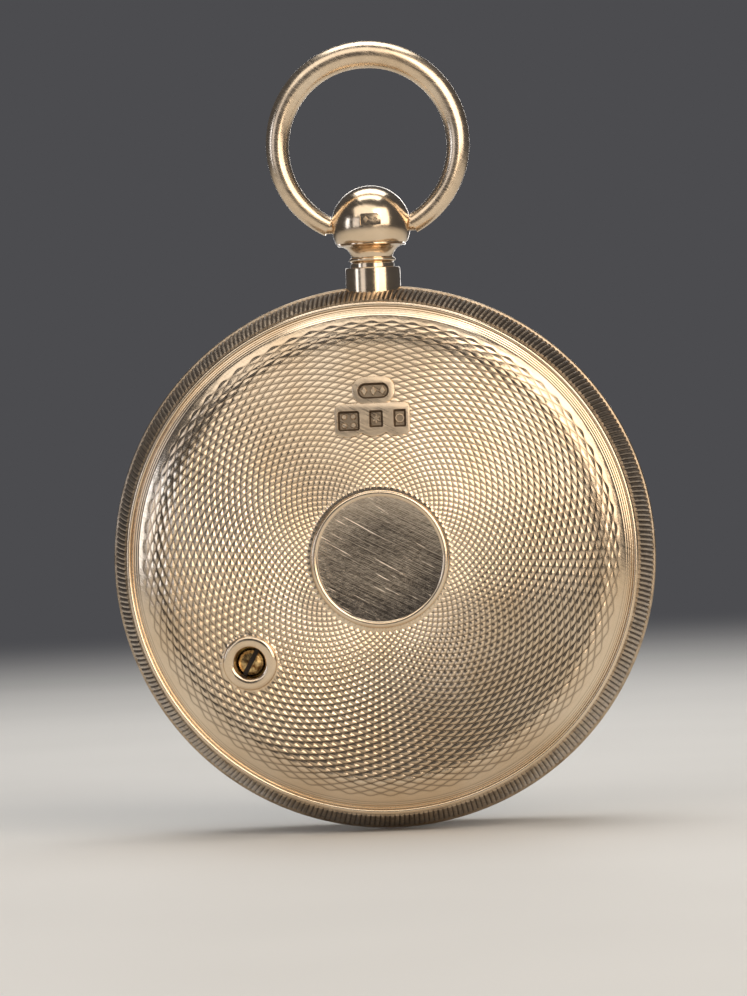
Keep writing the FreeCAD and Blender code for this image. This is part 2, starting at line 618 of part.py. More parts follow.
def carrier_outer_r():
    return CAPSULE_R + CAPSULE_RIM_W + CARRIER_GAP + CARRIER_W


def carrier_posts():
    half = CARRIER_POST_SIDE / 2
    pivot_y = carrier_under + CARRIER_T / 2
    posts = []
    for x, z in carrier_post_places():
        body = block(x - half, x + half, plate_top, carrier_top + CARRIER_T / 2, z - half, z + half)
        body = body.cut(pin(x, pivot_y, PIVOT_SCREW_R, z - half, z + half))
        posts.append(riveted(body, x, z))
    return group(posts)


def pivot_screw(x, y, z, side, length, tip):
    """A headless screw along Z whose cone tip points towards -side."""
    body = Part.makeCylinder(PIVOT_SCREW_R, length, V(x, y, z), V(0, 0, side))
    cone = Part.makeCone(PIVOT_SCREW_R, PIVOT_TIP_R / 2, tip, V(x, y, z), V(0, 0, -side))
    half_slot = SLOT_SHARE * PIVOT_SCREW_R
    end = z + side * length
    ends = sorted((end, end - side * PIVOT_SCREW_R / 2))
    slot = block(x - PIVOT_SCREW_R, x + PIVOT_SCREW_R, y - half_slot, y + half_slot, *ends)
    return body.fuse(cone).removeSplitter().cut(slot)


def carrier_pivot_screws():
    pivot_y = carrier_under + CARRIER_T / 2
    return group(
        pivot_screw(x, pivot_y, math.copysign(abs(z) - CARRIER_POST_SIDE / 2, z), math.copysign(1, z),
                    CARRIER_POST_SIDE, CARRIER_POST_GAP + PIVOT_TIP_R)
        for x, z in carrier_post_places()
    )


def bridge_posts():
    return group(riveted(rod(x, z, BRIDGE_POST_R, plate_top, bridge_under), x, z) for x, z in bridge_places())


def bridge(y0, y1):
    """A flat bar across the movement, with a seat for the arbor's bush in its middle."""
    (x0, z0), (x1, z1) = bridge_places()
    bar = strap(x0, z0, x1, z1, BRIDGE_HALF_W, y0, y1)
    holes = [rod(0, 0, BUSH_R, y0, y1)] + [rod(x, z, BRIDGE_SCREW_R, y0, y1) for x, z in bridge_places()]
    return bar.cut(group(holes))


def lower_bridge():
    return bridge(bridge_under, bridge_top)


def upper_bridge():
    stud_x, stud_z = hairspring_end()
    return bridge(upper_bridge_under, upper_bridge_top).cut(
        rod(stud_x, stud_z, STUD_R, upper_bridge_under, upper_bridge_top)
    )


def bridge_spacers():
    return group(
        tube(x, z, BRIDGE_POST_R, BRIDGE_SCREW_R, bridge_top, upper_bridge_under) for x, z in bridge_places()
    )


def bridge_screws():
    return group(
        screw(x, z, BRIDGE_SCREW_R, BRIDGE_SCREW_HEAD_R, BRIDGE_SCREW_HEAD_H, upper_bridge_top, bridge_under)
        for x, z in bridge_places()
    )


def arbor_bushes():
    hole = ARBOR_PIVOT_R + ARBOR_PLAY
    levels = ((bridge_under, bridge_top), (upper_bridge_under, upper_bridge_top))
    return group(tube(0, 0, BUSH_R, hole, y0, y1) for y0, y1 in levels)


def hairspring_end():
    """Where the hairspring's outer end is pinned."""
    return HAIRSPRING_R0 + HAIRSPRING_PITCH * HAIRSPRING_TURNS, 0.0


def collet_levels():
    top = upper_bridge_under - COLLET_H / 2
    return top - COLLET_H, top


def hairspring():
    """A flat spiral ribbon from the collet to the stud."""
    steps = 24 * HAIRSPRING_TURNS
    y0 = sum(collet_levels()) / 2 - HAIRSPRING_H / 2

    def spiral(offset):
        points = []
        for i in range(steps + 1):
            turn = i / 24
            radius = HAIRSPRING_R0 + HAIRSPRING_PITCH * turn + offset
            angle = 2 * math.pi * turn
            points.append(V(radius * math.cos(angle), y0, radius * math.sin(angle)))
        curve = Part.BSplineCurve()
        curve.interpolate(points)
        return curve.toShape(), points

    inner, inner_points = spiral(-HAIRSPRING_T / 2)
    outer, outer_points = spiral(HAIRSPRING_T / 2)
    start = Part.makeLine(inner_points[0], outer_points[0])
    end = Part.makeLine(inner_points[-1], outer_points[-1])
    face = Part.Face(Part.Wire(Part.__sortEdges__([inner, outer, start, end])))
    return face.extrude(V(0, HAIRSPRING_H, 0)).cut(hairspring_stud())


def hairspring_stud():
    x, z = hairspring_end()
    low = collet_levels()[0]
    return rod(x, z, STUD_R, low, upper_bridge_top)


def rocker_cocks():
    """The two brackets that the rocking shaft's pivots turn in."""
    cocks = []
    for x, z in cock_places():
        z0, z1 = z - COCK_T / 2, z + COCK_T / 2
        body = block(x - COCK_HALF_W, x + COCK_HALF_W, plate_top, rocker_y + COCK_RISE, z0, z1)
        body = body.cut(pin(x, rocker_y, PIVOT_SCREW_R, z0, z1))
        cocks.append(riveted(body, x, z, COCK_RIVET_R))
    return group(cocks)


def rocker_pivot_screws():
    tip = COCK_GAP + PIVOT_TIP_R
    (x0, z0), (x1, z1) = cock_places()
    half = COCK_T / 2
    return group([
        pivot_screw(x0, rocker_y, z0 + half, -1, COCK_T, tip),
        pivot_screw(x1, rocker_y, z1 - half, 1, COCK_T, tip),
    ])


# ---- Moving pieces -------------------------------------------------------------------------------
def adjusting_screw():
    """Its head shows through the collar; its thread raises and lowers the carrier's tail."""
    body = screw(0, 0, ADJUSTER_SHANK_R, ADJUSTER_HEAD_R, ADJUSTER_HEAD_H, adjuster_seat_y,
                 carrier_top - SNAP_GAP)
    # the slot's angle is as seen on the finished case, so the movement's own turn is taken out
    body.rotate(V(0, 0, 0), Y_AXIS, -ADJUSTER_SLOT_TURN - MOVEMENT_TURN)
    body.translate(V(adjuster_x, 0, 0))
    return body


def pivot_dimples():
    """Cone seats for the two pivot screws, with running clearance."""
    pivot_y = carrier_under + CARRIER_T / 2
    tip = CARRIER_POST_GAP + PIVOT_TIP_R
    seats = []
    for x, z in carrier_post_places():
        side = math.copysign(1, z)
        start = V(x, pivot_y, side * (abs(z) - CARRIER_POST_SIDE / 2))
        seats.append(Part.makeCone(PIVOT_SCREW_R + PIVOT_PLAY, PIVOT_TIP_R / 2 + PIVOT_PLAY,
                                   tip + PIVOT_PLAY, start, V(0, 0, -side)))
    return group(seats)


def spring_carrier():
    """The horseshoe bridge round the capsule: pivoted at its two ends, adjusted at its tail."""
    outer, inner = carrier_outer_r(), carrier_outer_r() - CARRIER_W
    ring = tube(-CAPSULE_OFFSET, 0, outer, inner, carrier_under, carrier_top)
    ear_x = CARRIER_PIVOT_X + PIVOT_SCREW_R * 3
    ring = ring.common(block(tail_x - outer, ear_x, carrier_under, carrier_top, -outer, outer))
    neck_x = -CAPSULE_OFFSET - inner
    tail = block(tail_x, neck_x, carrier_under, carrier_top, -TAIL_HALF_W, TAIL_HALF_W)
    tail = tail.cut(rod(-CAPSULE_OFFSET, 0, inner, carrier_under, carrier_top))
    body = ring.fuse(tail).removeSplitter()
    holes = [rod(adjuster_x, 0, ADJUSTER_SHANK_R + ADJUSTER_PLAY, carrier_under, carrier_top)]
    holes += [rod(x, z, CLAMP_SCREW_R, carrier_under, carrier_top) for x, z in clamp_screw_places()]
    return body.cut(group(holes)).cut(pivot_dimples())


def clamp_x():
    """The middle of the strip that clamps the mainspring's root, inboard of the adjusting screw."""
    return adjuster_x + ADJUSTER_SHANK_R + ADJUSTER_PLAY + CLAMP_HALF_L + CLAMP_T


def clamp_screw_places():
    return [(clamp_x(), side * CLAMP_SCREW_Z) for side in (-1, 1)]


def mainspring():
    """The C-shaped leaf: a short lower run clamped to the tail, a bend, and a long run over the capsule."""
    bend_in, bend_out = SPRING_GAP / 2, SPRING_GAP / 2 + SPRING_T
    root_end = clamp_x() + CLAMP_HALF_L
    wide = 2 * SPRING_ROOT_HALF_W
    lower = block(bend_x, root_end, carrier_top, spring_root_top, -wide / 2, wide / 2)
    inside = pin(bend_x, bend_y, bend_in, -wide / 2, wide / 2)
    bend = pin(bend_x, bend_y, bend_out, -wide / 2, wide / 2).cut(inside)
    bend = bend.common(block(bend_x - bend_out, bend_x, carrier_top, spring_top, -wide / 2, wide / 2))
    upper = plate([(bend_x, -SPRING_ROOT_HALF_W), (SPRING_TIP_X, -SPRING_TIP_HALF_W),
                   (SPRING_TIP_X, SPRING_TIP_HALF_W), (bend_x, SPRING_ROOT_HALF_W)], spring_under, spring_top)
    body = lower.multiFuse([bend, upper]).removeSplitter()
    post_space = rod(-CAPSULE_OFFSET, 0, POST_R + SPRING_SLOT_GAP, spring_under, spring_top)
    holes = [rod(x, z, CLAMP_SCREW_R, carrier_top, spring_root_top) for x, z in clamp_screw_places()]
    holes.append(rod(lever_screw_x(), 0, LEVER_SCREW_R, spring_under, spring_top))
    return body.cut(post_space).cut(group(holes))


def mainspring_clamp():
    x = clamp_x()
    strip = block(x - CLAMP_HALF_L, x + CLAMP_HALF_L, spring_root_top, spring_root_top + CLAMP_T,
                  -CLAMP_HALF_W, CLAMP_HALF_W)
    holes = [
        rod(sx, z, CLAMP_SCREW_R, spring_root_top, spring_root_top + CLAMP_T)
        for sx, z in clamp_screw_places()
    ]
    return strip.cut(group(holes))


def mainspring_screws():
    seat = spring_root_top + CLAMP_T
    return group(
        screw(x, z, CLAMP_SCREW_R, CLAMP_SCREW_HEAD_R, CLAMP_SCREW_HEAD_H, seat, carrier_under)
        for x, z in clamp_screw_places()
    )


def lever_screw_x():
    return (LEVER_ROOT_X + SPRING_TIP_X) / 2


def lever():
    """The long arm that carries the spring tip's movement out to the link."""
    half = LEVER_W / 2
    root = block(LEVER_ROOT_X, SPRING_TIP_X, spring_top, lever_top, -SPRING_TIP_HALF_W, SPRING_TIP_HALF_W)
    bar = strap(lever_screw_x(), 0, crank_x, LEVER_END_Z, half, spring_top, lever_top)
    body = root.fuse(bar).removeSplitter()
    body = body.cut(rod(lever_screw_x(), 0, LEVER_SCREW_R, spring_top, lever_top))
    return body.cut(pin(crank_x, lever_mid, LINK_PIN_R, LEVER_END_Z - half, LEVER_END_Z + half))


def lever_screw():
    return screw(lever_screw_x(), 0, LEVER_SCREW_R, LEVER_SCREW_HEAD_R, LEVER_SCREW_HEAD_H, lever_top,
                 spring_under)


def lever_pin():
    """The pin in the lever's end that the link hangs on."""
    half = LEVER_W / 2
    return pin(crank_x, lever_mid, LINK_PIN_R, LEVER_END_Z - half - LINK_PIN_OUT, LEVER_END_Z + half)


def knife_edge():
    """The steel bar through the post that rests on the mainspring."""
    half = KNIFE_SIDE / 2
    x = -CAPSULE_OFFSET
    corners = [V(x - half, spring_top + KNIFE_SIDE, -KNIFE_HALF_L),
               V(x + half, spring_top + KNIFE_SIDE, -KNIFE_HALF_L),
               V(x + half, spring_top + half, -KNIFE_HALF_L), V(x, spring_top, -KNIFE_HALF_L),
               V(x - half, spring_top + half, -KNIFE_HALF_L)]
    return Part.Face(Part.makePolygon(corners + corners[:1])).extrude(V(0, 0, 2 * KNIFE_HALF_L))


def capsule_post():
    foot = capsule_mid + CAPSULE_HALF
    body = rod(-CAPSULE_OFFSET, 0, POST_R, foot, foot + POST_H)
    return body.cut(knife_edge())


def link_z():
    """The middle of the link's thickness, beside the lever and the crank."""
    return LEVER_END_Z - LEVER_W / 2 - LINK_PIN_OUT / 2


def link():
    """The short strip from the lever's pin down to the crank's pin, where its eye is a slot."""
    hole, wide = LINK_PIN_R + LINK_PLAY, LINK_PIN_R + LINK_SLOT_PLAY
    z0, z1 = link_z() - LINK_T / 2, link_z() + LINK_T / 2
    upper, lower = lever_mid, rocker_y
    body = block(crank_x - LINK_HALF_W, crank_x + LINK_HALF_W, lower, upper, z0, z1)
    foot = lower - LINK_SLOT
    ends = [pin(crank_x, upper, LINK_HALF_W, z0, z1), pin(crank_x, foot, LINK_HALF_W, z0, z1),
            block(crank_x - LINK_HALF_W, crank_x + LINK_HALF_W, foot, lower, z0, z1)]
    body = body.multiFuse(ends).removeSplitter()
    slot = block(crank_x - wide, crank_x + wide, foot, lower + LINK_SLOT, z0, z1)
    slot = slot.multiFuse([pin(crank_x, y, wide, z0, z1) for y in (foot, lower + LINK_SLOT)])
    return body.cut(slot).cut(pin(crank_x, upper, hole, z0, z1))


def rocker_shaft():
    """The rocking shaft, with a cone seat in each end for its pivot screws."""
    shaft = pin(rocker_x, rocker_y, ROCKER_R, ROCKER_Z0, ROCKER_Z1)
    tip = COCK_GAP + PIVOT_TIP_R + PIVOT_PLAY
    wide, narrow = PIVOT_SCREW_R + PIVOT_PLAY, PIVOT_TIP_R / 2 + PIVOT_PLAY
    seats = [
        Part.makeCone(wide, narrow, tip, V(rocker_x, rocker_y, ROCKER_Z0 - COCK_GAP), V(0, 0, 1)),
        Part.makeCone(wide, narrow, tip, V(rocker_x, rocker_y, ROCKER_Z1 + COCK_GAP), V(0, 0, -1)),
    ]
    return shaft.cut(group(seats))


def rocker_arm():
    """The upright arm that pulls the chain."""
    z0, z1 = DRUM_WRAP_R - ROCKER_ARM_T / 2, DRUM_WRAP_R + ROCKER_ARM_T / 2
    top = chain_y + ROCKER_ARM_OVER
    arm = block(rocker_x - ROCKER_ARM_HALF_W, rocker_x + ROCKER_ARM_HALF_W, rocker_y, top, z0, z1)
    arm = arm.fuse(pin(rocker_x, rocker_y, ROCKER_HUB_R, z0, z1)).removeSplitter()
    notch_x = rocker_x + CHAIN_PLATE_H / 2 + SNAP_GAP
    notch = block(rocker_x - ROCKER_ARM_HALF_W, notch_x, chain_y - CHAIN_NOTCH, chain_y + CHAIN_NOTCH, z0, z1)
    rivet_hole = rod(rocker_x, DRUM_WRAP_R, CHAIN_RIVET_R, chain_y - ROCKER_ARM_OVER,
                     chain_y + ROCKER_ARM_OVER)
    return arm.cut(pin(rocker_x, rocker_y, ROCKER_R, z0, z1)).cut(notch).cut(rivet_hole)


def crank_levels():
    z1 = LEVER_END_Z - LEVER_W / 2 + CRANK_T
    return z1 - CRANK_T, z1


def crank():
    """The short arm that the link turns, with its hub on the shaft."""
    z0, z1 = crank_levels()
    arm = block(crank_x, rocker_x, rocker_y - CRANK_EYE_R, rocker_y + CRANK_EYE_R, z0, z1)
    ends = [pin(crank_x, rocker_y, CRANK_EYE_R, z0, z1), pin(rocker_x, rocker_y, ROCKER_HUB_R, z0, z1)]
    arm = arm.multiFuse(ends).removeSplitter()
    return arm.cut(pin(rocker_x, rocker_y, ROCKER_R, z0, z1)).cut(pin(crank_x, rocker_y, LINK_PIN_R, z0, z1))


def crank_pin():
    z0, z1 = crank_levels()
    return pin(crank_x, rocker_y, LINK_PIN_R, z0 - LINK_PIN_OUT, z1)


def chain_points():
    """The chain's rivets: straight from the arm to the drum, then round the drum."""
    count = int(rocker_x / CHAIN_PITCH)
    straight = [V(rocker_x - i * CHAIN_PITCH, chain_y, DRUM_WRAP_R) for i in range(count + 1)]
    left = straight[-1].x
    turn = CHAIN_PITCH / DRUM_WRAP_R
    start = -left / DRUM_WRAP_R
    wrapped = []
    for i in range(1, CHAIN_WRAP_LINKS + 1):
        angle = start + i * turn
        wrapped.append(V(-DRUM_WRAP_R * math.sin(angle), chain_y, DRUM_WRAP_R * math.cos(angle)))
    return straight + wrapped


def chain_plate(a, b, y):
    """One figure-eight link plate, as a round-ended strip between two rivets, at one height."""
    half = CHAIN_PLATE_H / 2
    return strap(a.x, a.z, b.x, b.z, half, y - CHAIN_PLATE_T / 2, y + CHAIN_PLATE_T / 2)


def chain():
    """Single inner plates between double outer plates, each pair of plates riveted."""
    points = chain_points()
    solids = []
    for i, (a, b) in enumerate(zip(points, points[1:])):
        heights = (-CHAIN_PLATE_T, CHAIN_PLATE_T) if i % 2 else (0.0,)
        solids += [chain_plate(a, b, chain_y + h) for h in heights]
    rivets = [rod(p.x, p.z, CHAIN_RIVET_R, chain_y - 1.5 * CHAIN_PLATE_T, chain_y + 1.5 * CHAIN_PLATE_T)
              for p in points[1:]]
    end = points[0]
    rivets.append(rod(end.x, end.z, CHAIN_RIVET_R, chain_y - ROCKER_ARM_OVER, chain_y + ROCKER_ARM_OVER))
    return solids[0].multiFuse(solids[1:] + rivets)


def arbor():
    """The pointer's spindle, with a thin pivot in each bush and a seat for the pointer."""
    top = dial_top + POINTER_LIFT + POINTER_T + POINTER_BOSS_H
    shaft = rod(0, 0, ARBOR_R, bridge_top + SNAP_GAP, upper_bridge_under - SNAP_GAP)
    pivots = rod(0, 0, ARBOR_PIVOT_R, bridge_under, top)
    return shaft.fuse(pivots).removeSplitter()


def drum():
    """The flanged drum that the chain winds on."""
    half = DRUM_H / 2
    # the middles of the chain's straight plates lie closer to the drum than its rivets do
    barrel_r = math.sqrt(DRUM_WRAP_R**2 - CHAIN_PITCH**2 / 4) - CHAIN_PLATE_H / 2 - SNAP_GAP
    barrel = rod(0, 0, barrel_r, chain_y - half, chain_y + half)
    flanges = [rod(0, 0, DRUM_FLANGE_R, chain_y - half, chain_y - half + DRUM_FLANGE_T),
               rod(0, 0, DRUM_FLANGE_R, chain_y + half - DRUM_FLANGE_T, chain_y + half)]
    body = barrel.multiFuse(flanges).removeSplitter()
    return body.cut(rod(0, 0, ARBOR_R, chain_y - half, chain_y + half))


def hairspring_collet():
    y0, y1 = collet_levels()
    return tube(0, 0, HAIRSPRING_R0 - HAIRSPRING_T / 2, ARBOR_R, y0, y1)


def pointer():
    """The blued hand: a long taper to the scale, a hub, and a shorter tail."""
    y0 = dial_top + POINTER_LIFT
    y1 = y0 + POINTER_T
    wide = POINTER_HALF_W
    hand = plate([(0, -wide), (POINTER_L, -wide / 8), (POINTER_L, wide / 8), (0, wide)], y0, y1)
    tail = plate([(0, -wide), (0, wide), (-POINTER_TAIL_L, POINTER_TAIL_HALF_W),
                  (-POINTER_TAIL_L, -POINTER_TAIL_HALF_W)], y0, y1)
    body = hand.multiFuse([tail, rod(0, 0, POINTER_HUB_R, y0, y1)]).removeSplitter()
    body = body.cut(rod(0, 0, ARBOR_PIVOT_R, y0, y1))
    return point_to_rest(body)


def point_to_rest(shape):
    """Turns a piece drawn towards +X, on the finished case, to the rest reading. 12 o'clock is +Z."""
    shape.rotate(V(0, 0, 0), Y_AXIS, -90 - rest_angle - MOVEMENT_TURN)
    return shape


def pointer_boss():
    y0 = dial_top + POINTER_LIFT + POINTER_T
    y1 = y0 + POINTER_BOSS_H
    return tube(0, 0, POINTER_BOSS_R, ARBOR_PIVOT_R, y0, y1)


# ---- Writing the nodes ---------------------------------------------------------------------------
def turn_movement(shape):
    shape.rotate(V(0, 0, 0), Y_AXIS, MOVEMENT_TURN)
    return shape


CASE_NODES = (case_band, case_back, screw_hole_collar, bezel, glass, sight_ring, pendant, pendant_collar, bow)
MOVEMENT_NODES = (
    base_plate, case_screws, dial_pillars, dial, dial_screws, adjuster_bush, capsule_upper, capsule_lower,
    capsule_rim, capsule_foot, capsule_nut, carrier_posts, carrier_pivot_screws, bridge_posts, lower_bridge,
    upper_bridge, bridge_spacers, bridge_screws, arbor_bushes, hairspring, hairspring_stud, rocker_cocks,
    rocker_pivot_screws, adjusting_screw, spring_carrier, mainspring, mainspring_clamp, mainspring_screws,
    lever, lever_screw, lever_pin, knife_edge, capsule_post, link, rocker_shaft, rocker_arm, crank, crank_pin,
    chain, arbor, drum, hairspring_collet, pointer, pointer_boss,
)


def write(name, shape):
    shape.translate(V(0, 0, -hang_z))
    shape.exportStep(f"parts/{name}.step")
    print(f"{name}: {len(shape.Solids)} solids, {shape.Volume:.3f} mm3, valid {shape.isValid()}")


def main():
    os.makedirs("parts", exist_ok=True)
    for make in CASE_NODES:
        write(make.__name__, make())
    for make in MOVEMENT_NODES:
        write(make.__name__, turn_movement(make()))


if __name__ == "__main__":
    main()
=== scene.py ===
"""Looks of a pocket aneroid barometer: a pale gold watch case with an engine-turned back, a milled edge,
a ball pendant and a ring bow, and behind its glass a silvered dial with a blued hand.

Metres. +Z points up towards the bow, the back faces -Y and the dial faces +Y.
"""

import json
from math import acos, asin, atan2, cos, degrees, hypot, pi, radians, sin, sqrt, tan, tau

import bmesh
import bpy
from mathutils import Matrix, Vector


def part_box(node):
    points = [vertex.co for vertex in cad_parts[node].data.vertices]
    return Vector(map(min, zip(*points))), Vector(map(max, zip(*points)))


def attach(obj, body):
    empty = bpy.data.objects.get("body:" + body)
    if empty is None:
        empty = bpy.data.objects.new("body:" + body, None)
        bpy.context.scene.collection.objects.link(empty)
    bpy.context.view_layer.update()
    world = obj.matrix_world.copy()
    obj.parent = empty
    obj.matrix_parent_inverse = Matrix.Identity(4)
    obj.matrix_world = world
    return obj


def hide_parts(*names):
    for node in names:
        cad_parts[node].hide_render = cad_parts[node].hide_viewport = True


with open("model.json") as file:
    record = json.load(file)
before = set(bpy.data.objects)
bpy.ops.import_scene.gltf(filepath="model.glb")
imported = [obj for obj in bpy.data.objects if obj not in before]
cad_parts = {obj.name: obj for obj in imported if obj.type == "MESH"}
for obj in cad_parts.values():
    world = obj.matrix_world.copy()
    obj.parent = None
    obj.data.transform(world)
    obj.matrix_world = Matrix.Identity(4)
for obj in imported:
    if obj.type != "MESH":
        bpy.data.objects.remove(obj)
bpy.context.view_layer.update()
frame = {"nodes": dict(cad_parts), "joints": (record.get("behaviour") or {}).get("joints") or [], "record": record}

MM = 0.001
X, Y, Z = Vector((1, 0, 0)), Vector((0, 1, 0)), Vector((0, 0, 1))

# ---- Places that the frame gives ----
band_low, band_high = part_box("case_band")
bezel_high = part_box("bezel")[1]
glass_low, glass_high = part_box("glass")
dial_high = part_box("dial")[1]
screw_low, screw_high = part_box("adjusting_screw")
pointer_low, pointer_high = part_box("pointer")
bow_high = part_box("bow")[1]

centre = Vector((0, 0, (band_low.z + band_high.z) / 2))
case_r = (band_high.z - band_low.z) / 2
band_half = band_high.y
bow_top_wire_r = bow_high.z / 2
bow_hinge = next(joint for joint in frame["joints"] if joint["name"] == "bow_swing")
ball_centre = Vector(bow_hinge["pos_m"])

# ---- Sizes of the case ----
BAND_EDGE_R = 22.65 * MM
BAND_BORE_R = 21.3 * MM
FLANGE_R = 19.4 * MM
FLANGE_T = 0.6 * MM
RIDGES = 336  # of the milled edge
RIDGE_DEPTH = 0.14 * MM
RIDGE_STEPS = 6  # mesh steps to a ridge
RIDGE_SLANT = 0.07  # sideways run of a ridge for each millimetre across the band
RIDGE_RUN_OUT = 0.12 * MM  # where the milling dies away at its edges
MIDDLE_BEAD = 0.17 * MM  # the plain bead round the middle of the band
RIDGE_END_SHARE = 0.7  # how much of the way into that a ridge already starts
RIDGE_ROUNDNESS = 0.8
BAND_BULGE = (23.38 * MM, -2.5 * MM)  # the radius and the height of a point on the band's curve
MILLING_END_R = 23.80 * MM
MILLING_END_Y = 0.36 * MM

LIP_R = 22.4 * MM  # the bead round the back, and the bezel's foot
LIP_W = 0.45 * MM
LIP_H = 0.85 * MM
LIP_STEP = 0.12 * MM
CROWN_R = 100 * MM
SHOULDER_R = 7 * MM
SHOULDER_W = 3.4 * MM
BACK_T = 0.7 * MM
SKIRT_W = 0.4 * MM
SKIRT_H = 0.5 * MM
CARTOUCHE_R = 5.98 * MM
CARTOUCHE_RIM_W = 0.55 * MM
CARTOUCHE_RIM_H = 0.19 * MM
CARTOUCHE_SINK = 0.05 * MM

# Barleycorn engine turning: wavy rings, each half a wave on from the last.
TURNING_WAVES = 72
TURNING_PITCH = 0.29 * MM  # from ring to ring
TURNING_ROWS = 52
TURNING_START_R = 6.13 * MM
TURNING_WAVE = 0.115 * MM  # how far a ring swings each way
TURNING_SLOPE = 0.34  # of the graver's cut
TURNING_RUN_IN, TURNING_START_SHARE = 0.4 * MM, 0.12  # where the cut deepens beside the cartouche's rim
TURNING_RUN_OUT = 0.7 * MM  # where the cut grows shallow before the plain border
WAVE_STEPS = 8  # mesh steps to a wave
DARKER_BORDER_R = 18.9 * MM  # from here outwards the cuts are shallower and darker, partly dirt and partly painted shade
SHALLOWER, SHALLOWER_W = 0.5, 1.2 * MM  # the share of its depth that the cut loses there, and over what width
DARKER_BY, DARKER_W = 0.9, 1.0 * MM  # how much darker the cuts are there, partly dirt and partly painted shade, and over what width it gathers
DARKENING_RUN_IN, DARKENING_START_SHARE = 0.45 * MM, 0.1  # where the darkening of the cuts gathers beside the cartouche's rim
BELOW_THE_CUTS = 1.5  # a point this many times as deep as the cuts is no part of them
BORDER_LINES = 4  # plain turned lines between the engine turning and the bead
BORDER_LINE_DEPTH = 0.04 * MM

COLLAR_R = 2.4 * MM
COLLAR_BORE_R = 1.38 * MM
COLLAR_PROUD = 0.28 * MM
COLLAR_SPIGOT_R = 1.85 * MM
COLLAR_SEAT = 0.35 * MM
COLLAR_MARGIN, COLLAR_RUN_OUT = 0.02 * MM, 0.12 * MM  # plain metal round the collar, and where the cut ends
SCREW_HEAD_R = 1.24 * MM
SCREW_HEAD_H = 1.1 * MM
SCREW_CROWN = 0.18 * MM
SCREW_SHANK_R = 0.7 * MM
SCREW_SLOT_W = 0.40 * MM
SCREW_SLOT_DEPTH = 0.45 * MM
SCREW_SLOT_TURN = radians(61)

PUNCH_DEPTH = 0.20 * MM
PUNCH_TAPER = 0.05 * MM
MOTIF_H, MOTIF_TAPER = 0.17 * MM, 0.12 * MM
DARKENED_FROM = 0.06 * MM  # the pockets darken from this deep on: partly dirt, partly painted shade at the foot of their walls
# A pocket's floor has a raised middle, inside a groove that is darkened: partly dirt, partly painted shade round
# its edge.
FLOOR_INSET, FLOOR_RISE, FLOOR_TAPER = 0.30 * MM, 0.05 * MM, 0.06 * MM
LOZENGE, LOZENGE_PITCH = (0.34 * MM, 0.48 * MM), 0.80 * MM  # half its width and height, and their spacing
DOT_R, DOT_X, DOT_Z = 0.31 * MM, 0.40 * MM, 0.38 * MM
STAR, STAR_TAPER = (6, 0.48 * MM, 0.22 * MM), 0.10 * MM  # its points, and its outer and inner radius
RING_FOOT, RING_TOP = (0.24 * MM, 0.45 * MM), (0.30 * MM, 0.38 * MM)  # inner and outer radius
PAD_PROUD = 0.05 * MM  # how far the flattened metal round the punch marks stands out
PAD_ROUNDING = 0.09 * MM
PAD_FOOT = 0.30 * MM
# Each is (right of the middle, above the middle, width, height, corner radius), in millimetres.
OVAL_PUNCH = (-0.02, 14.60, 2.80, 1.44, 0.70)
ROW_PUNCHES = (
    (-2.23, 12.04, 1.95, 1.80, 0.25),
    (0.15, 12.16, 1.25, 1.55, 0.15),
    (2.21, 12.14, 1.15, 1.60, 0.15),
)
OVAL_PAD = (0.0, 14.67, 3.75, 2.36, 1.10)
ROW_PAD = (-0.17, 12.20, 6.60, 2.70, 0.60)
ROW_PAD_NOTCHES = (-1.11, 0.96)  # between the three punches, at the pad's lower edge
ROW_PAD_LOBE = 0.22 * MM  # how far each punch's lower edge bulges

BALL_R = 3.5 * MM
BALL_FLAT = 1.6 * MM
PENDANT_LIP_R = 3.04 * MM
PENDANT_LIP_H = 0.95 * MM
NECK_R = 1.8 * MM
NECK_H = 1.2 * MM
BEAD_R = 2.05 * MM
BEAD_HALF_H = 0.20 * MM
NECK_FOOT_W = 0.12 * MM
TUBE_R = 2.42 * MM
SPIGOT_R = 1.5 * MM
TUBE_END, SPIGOT_END = 0.97, 0.96  # how far from the case's middle, as shares of its radius
# The punch mark on the ball: its middle, its width, height and corner, and how deep it goes.
BALL_MARK_X, BALL_MARK_Z = 0.15 * MM, 0.4 * MM
BALL_MARK, BALL_MARK_DEPTH, BALL_MARK_TAPER = (1.95 * MM, 1.17 * MM, 0.14 * MM), 0.17 * MM, 0.08 * MM
BALL_LOZENGE, BALL_LOZENGE_X, BALL_LOZENGE_TAPER = (0.22 * MM, 0.30 * MM), 0.42 * MM, 0.05 * MM
BOW_R = 8.0 * MM
BOW_END_WIRE_R = 0.87 * MM
BOW_GAP = 0.12 * MM
BOW_PIN_R = 0.60 * MM
BOW_PIN_PLAY = 0.05 * MM
BOW_PIN_DEPTH = 1.9 * MM

BEZEL_LAND = (19.85 * MM, 20.65 * MM)
GLASS_OPENING_R = 19.45 * MM
GLASS_R = 20.35 * MM
BEZEL_BORE_R = 20.95 * MM
BEZEL_LIP_T = 0.8 * MM
BEZEL_SKIRT_H = 0.8 * MM
GLASS_FLANGE_T = 0.7 * MM
GLASS_BEVEL_W = 1.0 * MM
SNAP_GAP = 0.02 * MM

